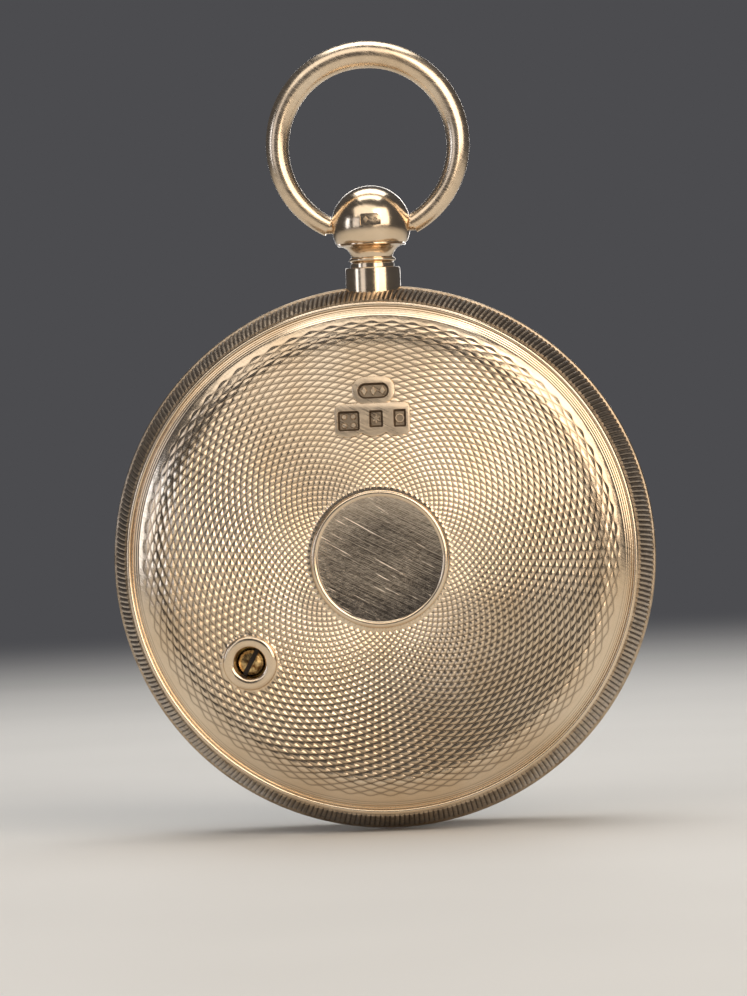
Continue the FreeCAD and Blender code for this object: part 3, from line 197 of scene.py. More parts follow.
# ---- Sizes of the dial ----
SCALE_LOW, SCALE_HIGH, SCALE_SWEEP = 28.0, 31.0, 270.0  # inches of mercury, and degrees
REST_READING = 29.8
TICKS_PER_INCH = 20
TICK_R = 15.0 * MM
TICK_LENGTHS = {10: 1.7 * MM, 2: 1.15 * MM, 1: 0.75 * MM}  # at each half inch, tenth and twentieth
TICK_W, HEAVY_TICK = 0.10 * MM, 1.6  # and how many times as wide each half inch's is
SCALE_RING_W = 0.12 * MM
ENGRAVING_T = 0.02 * MM
NUMERAL_R, NUMERAL_H = 13.5 * MM, 2.1 * MM
LEGEND_R, LEGEND_H = 10.4 * MM, 1.30 * MM
LEGENDS = {28.7: "RAIN", 29.5: "CHANGE", 30.3: "FAIR"}
LEGEND_SPACING = radians(8.2)
FONT_SIZE = 1.4  # for capitals of about one unit
HAND_L, HAND_TAIL_L = 15.6 * MM, 6.6 * MM
HAND_W, HAND_TAIL_W, HAND_HUB_R = 0.84 * MM, 2.36 * MM, 1.15 * MM
HAND_RIDGE, HAND_EDGE, HAND_HUB_EDGE = 0.9, 0.35, 0.8  # heights, as shares of the whole hand's

# ---- The back's curve ----
dome_edge_r = LIP_R - LIP_W
dome_edge_y = -band_half - LIP_H + LIP_STEP
shoulder_start_r = dome_edge_r - SHOULDER_W
crown_slope = asin(shoulder_start_r / CROWN_R)
shoulder_centre_r = (CROWN_R - SHOULDER_R) * sin(crown_slope)
edge_slope = asin((dome_edge_r - shoulder_centre_r) / SHOULDER_R)
shoulder_centre_y = dome_edge_y + SHOULDER_R * cos(edge_slope)
crown_centre_y = shoulder_centre_y + (CROWN_R - SHOULDER_R) * cos(crown_slope)


def dome_y(radius, depth=0.0):
    """The height of the back's outer surface, or of one that lies inside it by depth."""
    if radius < shoulder_centre_r + (SHOULDER_R - depth) * sin(crown_slope):
        return crown_centre_y - sqrt((CROWN_R - depth) ** 2 - radius**2)
    return shoulder_centre_y - sqrt((SHOULDER_R - depth) ** 2 - (radius - shoulder_centre_r) ** 2)


# ---- Outlines ----
def arc(middle, radius, start, end, count):
    """Points on an arc, from one angle in degrees to another."""
    angles = [radians(start + (end - start) * i / count) for i in range(count + 1)]
    return [(middle[0] + radius * cos(a), middle[1] + radius * sin(a)) for a in angles]


def arc_through(start, middle, end, count):
    """Points on the arc through three points."""
    (ax, ay), (bx, by), (cx, cy) = start, middle, end
    d = 2 * (ax * (by - cy) + bx * (cy - ay) + cx * (ay - by))
    a2, b2, c2 = ax * ax + ay * ay, bx * bx + by * by, cx * cx + cy * cy
    ux = (a2 * (by - cy) + b2 * (cy - ay) + c2 * (ay - by)) / d
    uy = (a2 * (cx - bx) + b2 * (ax - cx) + c2 * (bx - ax)) / d
    first = degrees(atan2(ay - uy, ax - ux))
    half = degrees(atan2(by - uy, bx - ux))
    last = degrees(atan2(cy - uy, cx - ux))
    half = first + (half - first + 180) % 360 - 180
    last = half + (last - half + 180) % 360 - 180
    return arc((ux, uy), hypot(ax - ux, ay - uy), first, last, count)


def rounded_rectangle(width, height, corner, count=6):
    """A rounded rectangle's corners, anticlockwise."""
    x, z = width / 2 - corner, height / 2 - corner
    outline = []
    for side_x, side_z, start in ((1, 1, 0), (-1, 1, 90), (-1, -1, 180), (1, -1, 270)):
        outline += arc((side_x * x, side_z * z), corner, start, start + 90, count)
    return outline


# ---- Mesh tools ----
ON_AXIS = 0.001 * MM
NEAR = 0.01 * MM  # points this near to a line are on it
INSIDE = 0.1 * MM  # points this far under the back's surface are on its inside
LONG_SPIN, SECTOR_STEPS = 300, 24  # longer spins are made of sectors of this many steps


def clean(bm):
    bmesh.ops.remove_doubles(bm, verts=bm.verts, dist=2e-7)
    bmesh.ops.dissolve_degenerate(bm, edges=bm.edges, dist=1e-8)
    bmesh.ops.recalc_face_normals(bm, faces=bm.faces)
    return bm


def turned(outline, steps, middle=centre, axis=Y, out=X):
    """A turned piece: its half outline of (radius, height) points, spun about an axis. A fine one is
    spun as a sector, whose copies close the turn, because that is much quicker."""
    sectors = steps // SECTOR_STEPS if steps > LONG_SPIN else 1
    bm = bmesh.new()
    verts = [bm.verts.new(middle + out * radius + axis * height) for radius, height in outline]
    edges = [bm.edges.new(pair) for pair in zip(verts, verts[1:])]
    if outline[0][0] > ON_AXIS:
        edges.append(bm.edges.new((verts[-1], verts[0])))
    bmesh.ops.spin(bm, geom=verts + edges, cent=middle, axis=axis, dvec=(0, 0, 0), angle=tau / sectors,
                   steps=steps // sectors, use_merge=sectors == 1)
    sector = bpy.data.meshes.new("sector")
    bm.to_mesh(sector)
    for i in range(1, sectors):
        copy = sector.copy()
        turn = Matrix.Rotation(tau * i / sectors, 4, axis)
        copy.transform(Matrix.Translation(middle) @ turn @ Matrix.Translation(-middle))
        bm.from_mesh(copy)
        bpy.data.meshes.remove(copy)
    bpy.data.meshes.remove(sector)
    return clean(bm)


def prism(outline, place, low, high, taper=0.0):
    """A prism between two heights. place turns (across, height, up) into the frame's own axes."""
    bm = bmesh.new()
    face = bm.faces.new([bm.verts.new((x, low, z)) for x, z in outline])
    top = bmesh.ops.extrude_face_region(bm, geom=[face])["geom"]
    top_verts = [v for v in top if isinstance(v, bmesh.types.BMVert)]
    bmesh.ops.translate(bm, verts=top_verts, vec=(0, high - low, 0))
    if taper:
        wide = max(v.co.x for v in top_verts)
        tall = max(v.co.z for v in top_verts)
        bmesh.ops.scale(bm, verts=top_verts, vec=((wide - taper) / wide, 1, (tall - taper) / tall))
    bmesh.ops.transform(bm, verts=bm.verts, matrix=place)
    return clean(bm)


def box(width, depth, height, place):
    bm = bmesh.new()
    bmesh.ops.create_cube(bm, size=1)
    bmesh.ops.scale(bm, verts=bm.verts, vec=(width, depth, height))
    bmesh.ops.transform(bm, verts=bm.verts, matrix=place)
    return bm


def rod(radius, start, end, steps=32):
    """A plain cylinder between two points."""
    along = end - start
    bm = bmesh.new()
    bmesh.ops.create_cone(bm, cap_ends=True, segments=steps, radius1=radius, radius2=radius,
                          depth=along.length)
    place = Matrix.Translation((start + end) / 2) @ along.to_track_quat("Z", "Y").to_matrix().to_4x4()
    bmesh.ops.transform(bm, verts=bm.verts, matrix=place)
    return bm


def mesh_of(bm, name="part"):
    """A mesh's data, once its shape is done."""
    mesh = bpy.data.meshes.new(name)
    bm.to_mesh(mesh)
    bm.free()
    return mesh


def placed(name, data):
    """A new object in the scene."""
    made = bpy.data.objects.new(name, data)
    bpy.context.scene.collection.objects.link(made)
    return made


def joined(*parts):
    """Several meshes in one, each left as it is."""
    together = bmesh.new()
    for part in parts:
        mesh = mesh_of(part)
        together.from_mesh(mesh)
        bpy.data.meshes.remove(mesh)
    return together


def cut(bm, tool, operation="DIFFERENCE"):
    """One closed mesh cut from, or united with, another."""
    pair = [placed("part", mesh_of(part)) for part in (bm, tool)]
    modifier = pair[0].modifiers.new("cut", "BOOLEAN")
    modifier.object = pair[1]
    modifier.operation = operation
    modifier.solver = "MANIFOLD"
    result = bmesh.new()
    result.from_object(pair[0], bpy.context.evaluated_depsgraph_get())
    for part in pair:
        bpy.data.meshes.remove(part.data)
    return result


def piece(bm, name, materials, body, nodes=(), crease=32):
    """Makes a finished mesh a piece that moves with a body, and stands for the CAD nodes that it replaces."""
    mesh = mesh_of(bm, name)
    mesh.shade_smooth()
    mesh.set_sharp_from_angle(angle=radians(crease))
    for material in materials:
        mesh.materials.append(material)
    made = placed(name, mesh)
    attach(made, body)
    if nodes:
        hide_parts(*nodes)
    return made


def mark_hollows(made, hollow):
    """Stores how deep each point lies in a cut, from 0 on a crest to 1 in a hollow, for the material
    to read."""
    values = [min(max(hollow(v.co), 0.0), 1.0) for v in made.data.vertices]
    made.data.attributes.new("hollow", "FLOAT", "POINT").data.foreach_set("value", values)


# ---- Materials ----
def linear(colour):
    """An sRGB hex colour as the linear RGBA that the shaders take."""
    values = [int(colour[i : i + 2], 16) / 255 for i in (1, 3, 5)]
    return [v / 12.92 if v <= 0.04045 else ((v + 0.055) / 1.055) ** 2.4 for v in values] + [1.0]


def add(tree, kind, inputs=(), out=0, **settings):
    """Adds a node with its settings, sets or links its inputs, and gives back one of its outputs."""
    made = tree.nodes.new(kind)
    for name, value in settings.items():
        setattr(made, name, value)
    for socket, value in dict(inputs).items():
        if isinstance(value, bpy.types.NodeSocket):
            tree.links.new(value, made.inputs[socket])
        else:
            made.inputs[socket].default_value = value
    return made.outputs[out]


def material(name, **values):
    """A new material and its nodes, with what is the same all over its surface set on the shader."""
    made = bpy.data.materials.new(name)
    made.use_nodes = True
    shader = made.node_tree.nodes["Principled BSDF"]
    for socket, value in values.items():
        shader.inputs[socket.replace("_", " ")].default_value = value
    return made, made.node_tree


def linked(made, **outputs):
    """Links what varies over a surface into its material's shader, and gives the material back."""
    shader = made.node_tree.nodes["Principled BSDF"]
    for socket, output in outputs.items():
        made.node_tree.links.new(output, shader.inputs[socket.replace("_", " ")])
    return made


def grain(tree, sizes, low=0.0, high=1.0, turn=0.0, detail=2.0, span=(0.3, 0.7)):
    """Grain of one size, or of three, in millimetres, that runs between two values and may be turned
    about the case's axis."""
    if not isinstance(sizes, tuple):
        sizes = (sizes, sizes, sizes)
    place = add(tree, "ShaderNodeTexCoord", out=3)
    place = add(tree, "ShaderNodeMapping",
                {"Vector": place, "Location": centre, "Rotation": (0, turn, 0), "Scale": Vector(sizes) * MM},
                vector_type="TEXTURE")
    noise = add(tree, "ShaderNodeTexNoise", {"Vector": place, "Scale": 1.0, "Detail": detail})
    return add(tree, "ShaderNodeMapRange",
               {"Value": noise, "From Min": span[0], "From Max": span[1], "To Min": low, "To Max": high})


# The third colour is a brown for tarnish and dirt, and also for the painted shade that darkens the hollows of
# cuts.
GOLD, GOLD_WARM, GOLD_DIRT_AND_SHADE = "#f0dcc1", "#e8cfae", "#4a3623"


def old_gold(name, roughness, grime, cut=None, tarnish=0.0):
    """Old pale gold, polished by hand and by the pocket: a warm pale metal whose tone drifts in soft clouds,
    with a haze of fine scratches that widens its highlights. Brown tarnish lies over it in patches, tarnish
    strong between them and grime strong in them. Where a cut keeps the cloth out, its hollows are darkened
    towards the same brown, partly dirt and partly painted shade: cut is how steeply that darkening gathers
    towards the hollows, and how strong it is there.

    The scratches are drawn 0.1 mm wide, several times as wide as real ones, so that they show.
    """
    made, tree = material(name, Metallic=1.0)
    clouds = grain(tree, 5)
    tone = add(tree, "ShaderNodeMix", {0: clouds, 6: linear(GOLD), 7: linear(GOLD_WARM)}, 2, data_type="RGBA")
    dirt_and_shade = grain(tree, 0.9, tarnish, grime, detail=4.0, span=(0.45, 0.8))
    # Painted shade, partly dirt: with a cut, the hollows are darkened towards the brown with their depth.
    if cut:
        depth = add(tree, "ShaderNodeAttribute", out=2, attribute_name="hollow")
        deep = add(tree, "ShaderNodeMath", {0: depth, 1: cut[0]}, operation="POWER")
        deep = add(tree, "ShaderNodeMath", {0: deep, 1: cut[1]}, operation="MULTIPLY")
        dirt_and_shade = add(tree, "ShaderNodeMath", {0: dirt_and_shade, 1: deep}, operation="MAXIMUM")
    tone = add(tree, "ShaderNodeMix", {0: dirt_and_shade, 6: tone, 7: linear(GOLD_DIRT_AND_SHADE)}, 2, data_type="RGBA")
    scratches = grain(tree, (2.5, 2.5, 0.10), turn=0.5, detail=3.0)
    rough = add(tree, "ShaderNodeMapRange",
                {"Value": scratches, "To Min": roughness * 0.75, "To Max": roughness * 1.3})
    relief = add(tree, "ShaderNodeBump", {"Height": scratches, "Distance": 0.0015 * MM})
    return linked(made, Base_Color=tone, Roughness=rough, Normal=relief)


def scratched_gold():
    """The plain cartouche, flat and polished, then scratched by years of wiping: fine parallel scratches
    that run down to the right at 28 degrees, dense enough to grey its reflection, and a few deep ones. Its
    colour paints the light: a dark grey-brown for a dim reflection, paler along the scratches and near white
    along the deep ones for painted glints.

    The scratches are drawn 0.06 to 0.12 mm wide, several times as wide as real ones, so that they show.
    """
    made, tree = material("cartouche_gold", Metallic=1.0)
    slant = radians(28)
    fine = grain(tree, (3.2, 3.2, 0.07), turn=slant, detail=3.0)
    cross = grain(tree, (0.35, 0.35, 0.25), 0.0, 0.42, detail=4.0)
    deep = grain(tree, (4.0, 4.0, 0.11), turn=slant + 0.05, detail=1.0, span=(0.68, 0.76))
    scratches_and_glints = add(tree, "ShaderNodeMath", {0: fine, 1: 0.58, 2: cross}, operation="MULTIPLY_ADD")
    # Painted reflection and glints: dark grey-brown for a dim reflection, pale where the scratches catch the
    # light.
    tone = add(tree, "ShaderNodeMix", {0: scratches_and_glints, 6: linear("#8e7e6c"), 7: linear("#f0e0ca")}, 2,
               data_type="RGBA")
    # Painted glints: the deep scratches are near white.
    tone = add(tree, "ShaderNodeMix", {0: deep, 6: tone, 7: linear("#fff4e2")}, 2, data_type="RGBA")
    rough = add(tree, "ShaderNodeMapRange", {"Value": scratches_and_glints, "To Min": 0.10, "To Max": 0.26})
    rough = add(tree, "ShaderNodeMath", {0: deep, 1: 0.22, 2: rough}, operation="MULTIPLY_ADD")
    relief = add(tree, "ShaderNodeMath", {0: scratches_and_glints, 1: deep}, operation="SUBTRACT")
    relief = add(tree, "ShaderNodeBump", {"Height": relief, "Distance": 0.006 * MM})
    return linked(made, Base_Color=tone, Roughness=rough, Normal=relief)


def worked_metal(name, light, dark, roughness, width, turn=0.0):
    """A machined metal with a straight grain from the emery stick: light and dark strokes along one way, over
    a slow drift of tone from handling and age."""
    made, tree = material(name, Metallic=1.0)
    strokes = grain(tree, (width * 25, width * 25, width), turn=turn, detail=3.0)
    clouds = grain(tree, 3, 0.0, 0.5)
    tone = add(tree, "ShaderNodeMath", {0: strokes, 1: 0.5, 2: clouds}, operation="MULTIPLY_ADD")
    tone = add(tree, "ShaderNodeMix", {0: tone, 6: linear(light), 7: linear(dark)}, 2, data_type="RGBA")
    rough = add(tree, "ShaderNodeMapRange",
                {"Value": strokes, "To Min": roughness * 0.7, "To Max": roughness * 1.3})
    relief = add(tree, "ShaderNodeBump", {"Height": strokes, "Distance": 0.003 * MM})
    return linked(made, Base_Color=tone, Roughness=rough, Normal=relief)


def stained_brass():
    """The adjusting screw's head: yellow brass that the screwdriver keeps bright in places, stained brown
    where old oil has dried."""
    made, tree = material("stained_brass", Metallic=1.0)
    stain = grain(tree, 0.55, detail=4.0, span=(0.38, 0.62))
    tone = add(tree, "ShaderNodeMix", {0: stain, 6: linear("#e8c88c"), 7: linear("#6e4620")}, 2,
               data_type="RGBA")
    rough = grain(tree, (0.4, 0.4, 0.06), 0.14, 0.34, turn=1.1)
    return linked(made, Base_Color=tone, Roughness=rough)


def mottled(name, light, dark, size, detail=2.0, rough=None, bump=None, **values):
    """A surface whose tone drifts between two colours in clouds of one size. A range of roughness and a
    height of relief follow the clouds too, where they are given."""
    made, tree = material(name, **values)
    clouds = grain(tree, size, detail=detail)
    tone = add(tree, "ShaderNodeMix", {0: clouds, 6: linear(light), 7: linear(dark)}, 2, data_type="RGBA")
    follows = {"Base_Color": tone}
    if rough:
        follows["Roughness"] = add(tree, "ShaderNodeMapRange",
                                   {"Value": clouds, "To Min": rough[0], "To Max": rough[1]})
    if bump:
        follows["Normal"] = add(tree, "ShaderNodeBump", {"Height": clouds, "Distance": bump})
    return linked(made, **follows)


def silvered_brass():
    """Brass rubbed with silvering salts while it turns: a soft white, with fine rings in its grain.

    The rings are drawn 0.12 mm apart, wider than a real dial's, so that they show.
    """
    made, tree = material("silvered_brass", Metallic=0.85)
    place = add(tree, "ShaderNodeTexCoord", out=3)
    place = add(tree, "ShaderNodeMapping", {"Vector": place, "Location": centre}, vector_type="TEXTURE")
    ring_pitch = 0.12 * MM
    rings = add(tree, "ShaderNodeTexWave",
                {"Vector": place, "Scale": tau / 20 / ring_pitch, "Distortion": 1.5, "Detail": 3.0,
                 "Detail Scale": 0.02}, 1, wave_type="RINGS", rings_direction="Y")
    clouds = grain(tree, 4, detail=5.0)
    tone = add(tree, "ShaderNodeMix", {0: clouds, 6: linear("#e6e2d8"), 7: linear("#cfc8b6")}, 2,
               data_type="RGBA")
    rough = add(tree, "ShaderNodeMapRange", {"Value": rings, "To Min": 0.34, "To Max": 0.5})
    relief = add(tree, "ShaderNodeBump", {"Height": rings, "Distance": 0.002 * MM})
    return linked(made, Base_Color=tone, Roughness=rough, Normal=relief)


def clear_glass():
    """Thick flat glass with a ground and polished bevel, and a breath of handling haze on it."""
    made, tree = material("clear_glass", IOR=1.5, Transmission_Weight=1.0, Base_Color=linear("#fbfdfb"))
    haze = grain(tree, 3, 0.0, 0.02, detail=4.0, span=(0.5, 0.8))
    return linked(made, Roughness=haze)


# In the cut metals below, the hollows are darkened with their depth: partly dirt, partly painted shade.
turned_gold = old_gold("engine_turned_gold", 0.19, 0.05, cut=(3.5, 0.85))
milled_gold = old_gold("milled_gold", 0.36, 0.80, cut=(0.7, 0.97), tarnish=0.40)
polished_gold = old_gold("polished_gold", 0.17, 0.08)
worn_gold = old_gold("worn_gold", 0.25, 0.14)
punched_gold = old_gold("punched_gold", 0.34, 0.30, cut=(1.0, 0.92), tarnish=0.08)
cartouche_gold = scratched_gold()
screw_brass = stained_brass()
# Painted shade in the screw's slot: a dull, nearly black brown that stands for the dark of its depth.
slot_painted_shade = mottled("painted_slot_shade", "#1b130c", "#3a2a19", 0.12, detail=4.0, bump=0.01 * MM)
silvered = silvered_brass()
# Polished steel blued over a flame: a deep blue oxide that goes to purple where it was hotter.
blued = mottled("blued_steel", "#1b3170", "#2a2058", 2.5, rough=(0.16, 0.26), Metallic=1.0)
# Black wax melted into the dial's engraving: dull, and slightly brown where it has thinned.
wax = mottled("engraving_wax", "#15130f", "#2b241b", 0.4, rough=(0.45, 0.6))
glass_clear = clear_glass()
NODE_FINISHES = {
    "case_metal": polished_gold,
    "glass": glass_clear,
    "movement_brass": worked_metal("movement_brass", "#dcb468", "#b98f47", 0.28, 0.05, turn=0.3),
    "bright_steel": worked_metal("bright_steel", "#c4c4c6", "#9b9b9e", 0.22, 0.04, turn=1.1),
    "blued_steel": blued,
    "silvered_metal": silvered,
    "nickel_silver": worked_metal("nickel_silver", "#cbc8bf", "#aaa698", 0.30, 0.06),
}


def finish_nodes():
    """Gives every CAD node that shows the finish of its material slot."""
    for part in frame["record"]["subparts"]:
        mesh = frame["nodes"][part["node"]].data
        mesh.materials.clear()
        mesh.materials.append(NODE_FINISHES[part["material_slot"]])


# ---- The back ----
def smooth_step(value):
    value = min(max(value, 0.0), 1.0)
    return value * value * (3 - 2 * value)


screw_x = (screw_low.x + screw_high.x) / 2
screw_z = (screw_low.z + screw_high.z) / 2 - centre.z


def turning_left(x, z):
    """How much of the engine turning is left at a point, because the collar's seat is plain."""
    to_collar = hypot(x - screw_x, z - screw_z) - COLLAR_R
    return smooth_step((to_collar - COLLAR_MARGIN) / COLLAR_RUN_OUT)


turning_end_r = TURNING_START_R + TURNING_PITCH * TURNING_ROWS
turning_depth = (TURNING_PITCH / 2 + TURNING_WAVE) * TURNING_SLOPE


def turning_place(radius, angle):
    """How far out engine turning moves a point of the plain dome, and how deep."""
    row, between_cuts = divmod(round((radius - TURNING_START_R) / (TURNING_PITCH / 2)), 2)
    wave = TURNING_WAVE * cos(TURNING_WAVES * angle + pi * row)
    if between_cuts:
        gap = TURNING_PITCH / 2 - wave
        return 0.0, turning_depth - gap * TURNING_SLOPE
    return wave, turning_depth


def cut_turning(bm):
    """Moves the dome's points to the engine turning."""
    for vert in bm.verts:
        offset = vert.co - centre
        radius = hypot(offset.x, offset.z)
        on_the_turning = TURNING_START_R - NEAR < radius < turning_end_r + NEAR
        if not on_the_turning or vert.co.y > dome_y(radius) + INSIDE:
            continue
        angle = atan2(offset.z, offset.x)
        wave, depth = turning_place(radius, angle)
        left = turning_left(offset.x, offset.z)
        left *= smooth_step((turning_end_r + 0.05 * MM - radius) / TURNING_RUN_OUT)
        left *= smooth_step((radius - TURNING_START_R) / TURNING_RUN_IN + TURNING_START_SHARE)
        depth *= 1 - SHALLOWER * smooth_step((radius - DARKER_BORDER_R) / SHALLOWER_W)
        new_r = radius + wave * left
        vert.co.x = centre.x + new_r * cos(angle)
        vert.co.z = centre.z + new_r * sin(angle)
        vert.co.y = dome_y(new_r) + depth * left
    return bm


def back_outline():
    """The back's half outline: cartouche, dome, border, bead, skirt and plain inside."""
    rim_in, rim_out = CARTOUCHE_R - CARTOUCHE_RIM_W, CARTOUCHE_R
    flat_y = dome_y(rim_out) - CARTOUCHE_SINK
    rim_top = dome_y(rim_out) - CARTOUCHE_RIM_H
    outline = [(0, flat_y), (rim_in * 0.5, flat_y), (rim_in - 0.06 * MM, flat_y)]
    outline += arc_through((rim_in, flat_y - 0.01 * MM), ((rim_in + rim_out) / 2, rim_top),
                           (rim_out, dome_y(rim_out) - 0.02 * MM), 14)
    outline.append((rim_out + 0.02 * MM, dome_y(rim_out) + 0.01 * MM))
    for i in range(2 * TURNING_ROWS + 1):
        radius = TURNING_START_R + TURNING_PITCH / 2 * i
        outline.append((radius, dome_y(radius)))
    border_w = (dome_edge_r - turning_end_r) / (2 * BORDER_LINES)
    for i in range(1, 2 * BORDER_LINES):
        radius = turning_end_r + border_w * i
        outline.append((radius, dome_y(radius) + (BORDER_LINE_DEPTH if i % 2 else 0.0)))
    outline.append((dome_edge_r, dome_y(dome_edge_r)))
    bead_mid = (dome_edge_r + LIP_W / 2, -band_half - LIP_H + LIP_W / 2)
    outline += arc(bead_mid, LIP_W / 2, 180, 360, 18)
    skirt_r = FLANGE_R - SNAP_GAP
    outline += [(LIP_R, -band_half), (skirt_r, -band_half), (skirt_r, SKIRT_H - band_half),
                (skirt_r - SKIRT_W, SKIRT_H - band_half)]
    inner_end = skirt_r - SKIRT_W
    inside = [inner_end * share for share in (1.0, 0.9, 0.75, 0.5, 0.25, 0)]
    outline += [(radius, dome_y(radius, BACK_T)) for radius in inside]
    return outline


def hole_place():
    """The adjusting screw's hole: its middle on the back's surface, and the way in, square to the surface."""
    radius = hypot(screw_x, screw_z)
    middle = centre + Vector((screw_x, dome_y(radius), screw_z))
    inwards = (Vector((0, crown_centre_y, centre.z)) - middle).normalized()
    return middle, inwards


def oval_pad():
    mid_x, mid_z, *size = (value * MM for value in OVAL_PAD)
    return [(x + mid_x, z + mid_z) for x, z in rounded_rectangle(*size, count=10)]


def row_pad():
    """The outline of the metal that the three punches in a row flattened, with a lobe below each of them."""
    mid_x, mid_z, width, height, corner = (value * MM for value in ROW_PAD)
    left, right, top, low = mid_x - width / 2, mid_x + width / 2, mid_z + height / 2, mid_z - height / 2
    outline = arc((right - corner, top - corner), corner, 0, 90, 6)
    outline += arc((left + corner, top - corner), corner, 90, 180, 6)
    ends = (left, *(notch * MM for notch in ROW_PAD_NOTCHES), right)
    for start, end in zip(ends, ends[1:]):
        below = ((start + end) / 2, low - ROW_PAD_LOBE)
        side = low + 0.10 * MM
        outline += arc_through((start + 0.03 * MM, side), below, (end - 0.03 * MM, side), 12)
    return outline


def on_back(x, z):
    """A place flat on the back's surface, its own up towards the pendant."""
    radius = hypot(x, z)
    slope = asin(radius / CROWN_R)
    tilt = Matrix.Rotation(-slope, 4, Vector((z, 0, -x)).normalized())
    return Matrix.Translation(centre + Vector((x, dome_y(radius), z))) @ tilt


def pad_places():
    """Each pad's outline about its own place on the back, with that place."""
    for outline, shape in ((oval_pad(), OVAL_PAD), (row_pad(), ROW_PAD)):
        mid_x, mid_z = shape[0] * MM, shape[1] * MM
        yield [(x - mid_x, z - mid_z) for x, z in outline], on_back(mid_x, mid_z)


def pocket_hollow(spot):
    """How deep a point lies in a punch mark's pocket, from 0 on a motif to 1 at the foot of its walls."""
    depth = spot.y - dome_y(hypot(spot.x, spot.z - centre.z))
    return (depth - DARKENED_FROM) / (PUNCH_DEPTH - DARKENED_FROM)


def make_punch_marks():
    """The flattened metal round the punch marks, their pockets, and plain raised motifs on the pockets'
    floors: lozenges, a quatrefoil of dots, a star and a ring."""
    pads = []
    for outline, place in pad_places():
        pad = prism(outline, Matrix(), PAD_FOOT, -PAD_PROUD)
        upper = [edge for edge in pad.edges if all(vert.co.y < 0 for vert in edge.verts)]
        bmesh.ops.bevel(pad, geom=upper, offset=PAD_ROUNDING, segments=3, profile=0.5, affect="EDGES",
                        material=-1)
        bmesh.ops.transform(pad, verts=pad.verts, matrix=place)
        pads.append(pad)
    floor, top = PUNCH_DEPTH + NEAR, PUNCH_DEPTH - MOTIF_H
    places, pockets, parts = [], [], []
    for right, above, *size in (OVAL_PUNCH, *ROW_PUNCHES):
        place = on_back(right * MM, above * MM)
        width, height, corner = (value * MM for value in size)
        places.append(place)
        pocket = rounded_rectangle(width, height, corner)
        pockets.append(prism(pocket, place, -0.3 * MM, PUNCH_DEPTH, PUNCH_TAPER))
        inset = rounded_rectangle(width - FLOOR_INSET, height - FLOOR_INSET,
                                  max(corner - FLOOR_INSET / 2, 0.05 * MM))
        parts.append(prism(inset, place, floor, PUNCH_DEPTH - FLOOR_RISE, FLOOR_TAPER))
    made = piece(cut(cut(*pads, operation="UNION"), joined(*pockets)), "punch_marks", (punched_gold,), "case")
    # The pockets darken towards the foot of their walls: partly dirt, partly painted shade.
    mark_hollows(made, pocket_hollow)

    oval, quatrefoil, middle, last = places
    for i in (-1, 0, 1):
        place = oval @ Matrix.Translation((i * LOZENGE_PITCH, 0, 0))
        parts.append(prism(lozenge(*LOZENGE), place, floor, top, MOTIF_TAPER))
    for i in (-1, 1):
        for k in (-1, 1):
            place = quatrefoil @ Matrix.Translation((i * DOT_X, 0, k * DOT_Z))
            parts.append(prism(arc((0, 0), DOT_R, 0, 330, 11), place, floor, top, MOTIF_TAPER))
    parts.append(prism(star(*STAR), middle, floor, top, STAR_TAPER))
    ring = turned([(RING_FOOT[0], floor), (RING_TOP[0], top), (RING_TOP[1], top), (RING_FOOT[1], floor)], 32,
                  Vector((0, 0, 0)))
    bmesh.ops.transform(ring, verts=ring.verts, matrix=last)
    made = piece(joined(*parts, ring), "punch_motifs", (punched_gold,), "case")
    # The motifs' feet darken the same way: partly dirt, partly painted shade.
    mark_hollows(made, pocket_hollow)


def make_back():
    bm = cut_turning(turned(back_outline(), TURNING_WAVES * WAVE_STEPS))
    middle, inwards = hole_place()
    hole = rod(COLLAR_R - 0.05 * MM, middle - inwards * MM, middle + inwards * 2 * MM, 64)
    pits = [prism(outline, place, -0.3 * MM, PAD_FOOT - 0.02 * MM) for outline, place in pad_places()]
    bm = cut(bm, joined(hole, cut(*pits, operation="UNION")))
    flat_y = dome_y(CARTOUCHE_R) - CARTOUCHE_SINK
    rim_in = CARTOUCHE_R - CARTOUCHE_RIM_W
    for face in bm.faces:
        spot = face.calc_center_median() - centre
        if hypot(spot.x, spot.z) < rim_in - 3 * NEAR and spot.y < flat_y + INSIDE:
            face.material_index = 1
    made = piece(bm, "engine_turned_back", (turned_gold, cartouche_gold), "case",
                 ("case_back",), crease=14)

    def hollow(spot):
        """How deep a point lies in the engine turning, and more by the border, where the cuts are darkened more:
        partly dirt, partly painted shade.
        """
        radius = hypot(spot.x, spot.z - centre.z)
        depth = (spot.y - dome_y(radius)) / turning_depth if radius < dome_edge_r - INSIDE else 0.0
        if radius <= TURNING_START_R or depth > BELOW_THE_CUTS:
            return 0.0
        darkening = 1 + smooth_step((radius - DARKER_BORDER_R) / DARKER_W) * DARKER_BY
        return depth * darkening * smooth_step((radius - TURNING_START_R) / DARKENING_RUN_IN + DARKENING_START_SHARE)

    # The material darkens the engine turning's cuts by this: partly dirt, partly painted shade.
    mark_hollows(made, hollow)


def star(points, outer, inner):
    """A star's outline."""
    corners = [(outer if i % 2 == 0 else inner, pi * i / points) for i in range(2 * points)]
    return [(radius * sin(angle), radius * cos(angle)) for radius, angle in corners]


def lozenge(wide, tall):
    return [(wide, 0), (0, tall), (-wide, 0), (0, -tall)]


def make_collar():
    """The polished collar round the adjusting screw's hole."""
    middle, inwards = hole_place()
    out = inwards.orthogonal().normalized()
    half_w = (COLLAR_R - COLLAR_BORE_R) / 2
    rim = [(COLLAR_BORE_R + half_w * (1 + share), -COLLAR_PROUD * (1 - abs(share) ** 2.8) ** 0.6)
           for share in (cos(radians(a)) for a in range(180, -1, -9))]
    outline = [*rim, (COLLAR_R, COLLAR_SEAT), (COLLAR_SPIGOT_R, COLLAR_SEAT), (COLLAR_SPIGOT_R, BACK_T),
               (COLLAR_BORE_R, BACK_T)]
    piece(turned(outline, 96, middle, inwards, out), "hole_collar", (polished_gold,), "case",
          ("screw_hole_collar",))


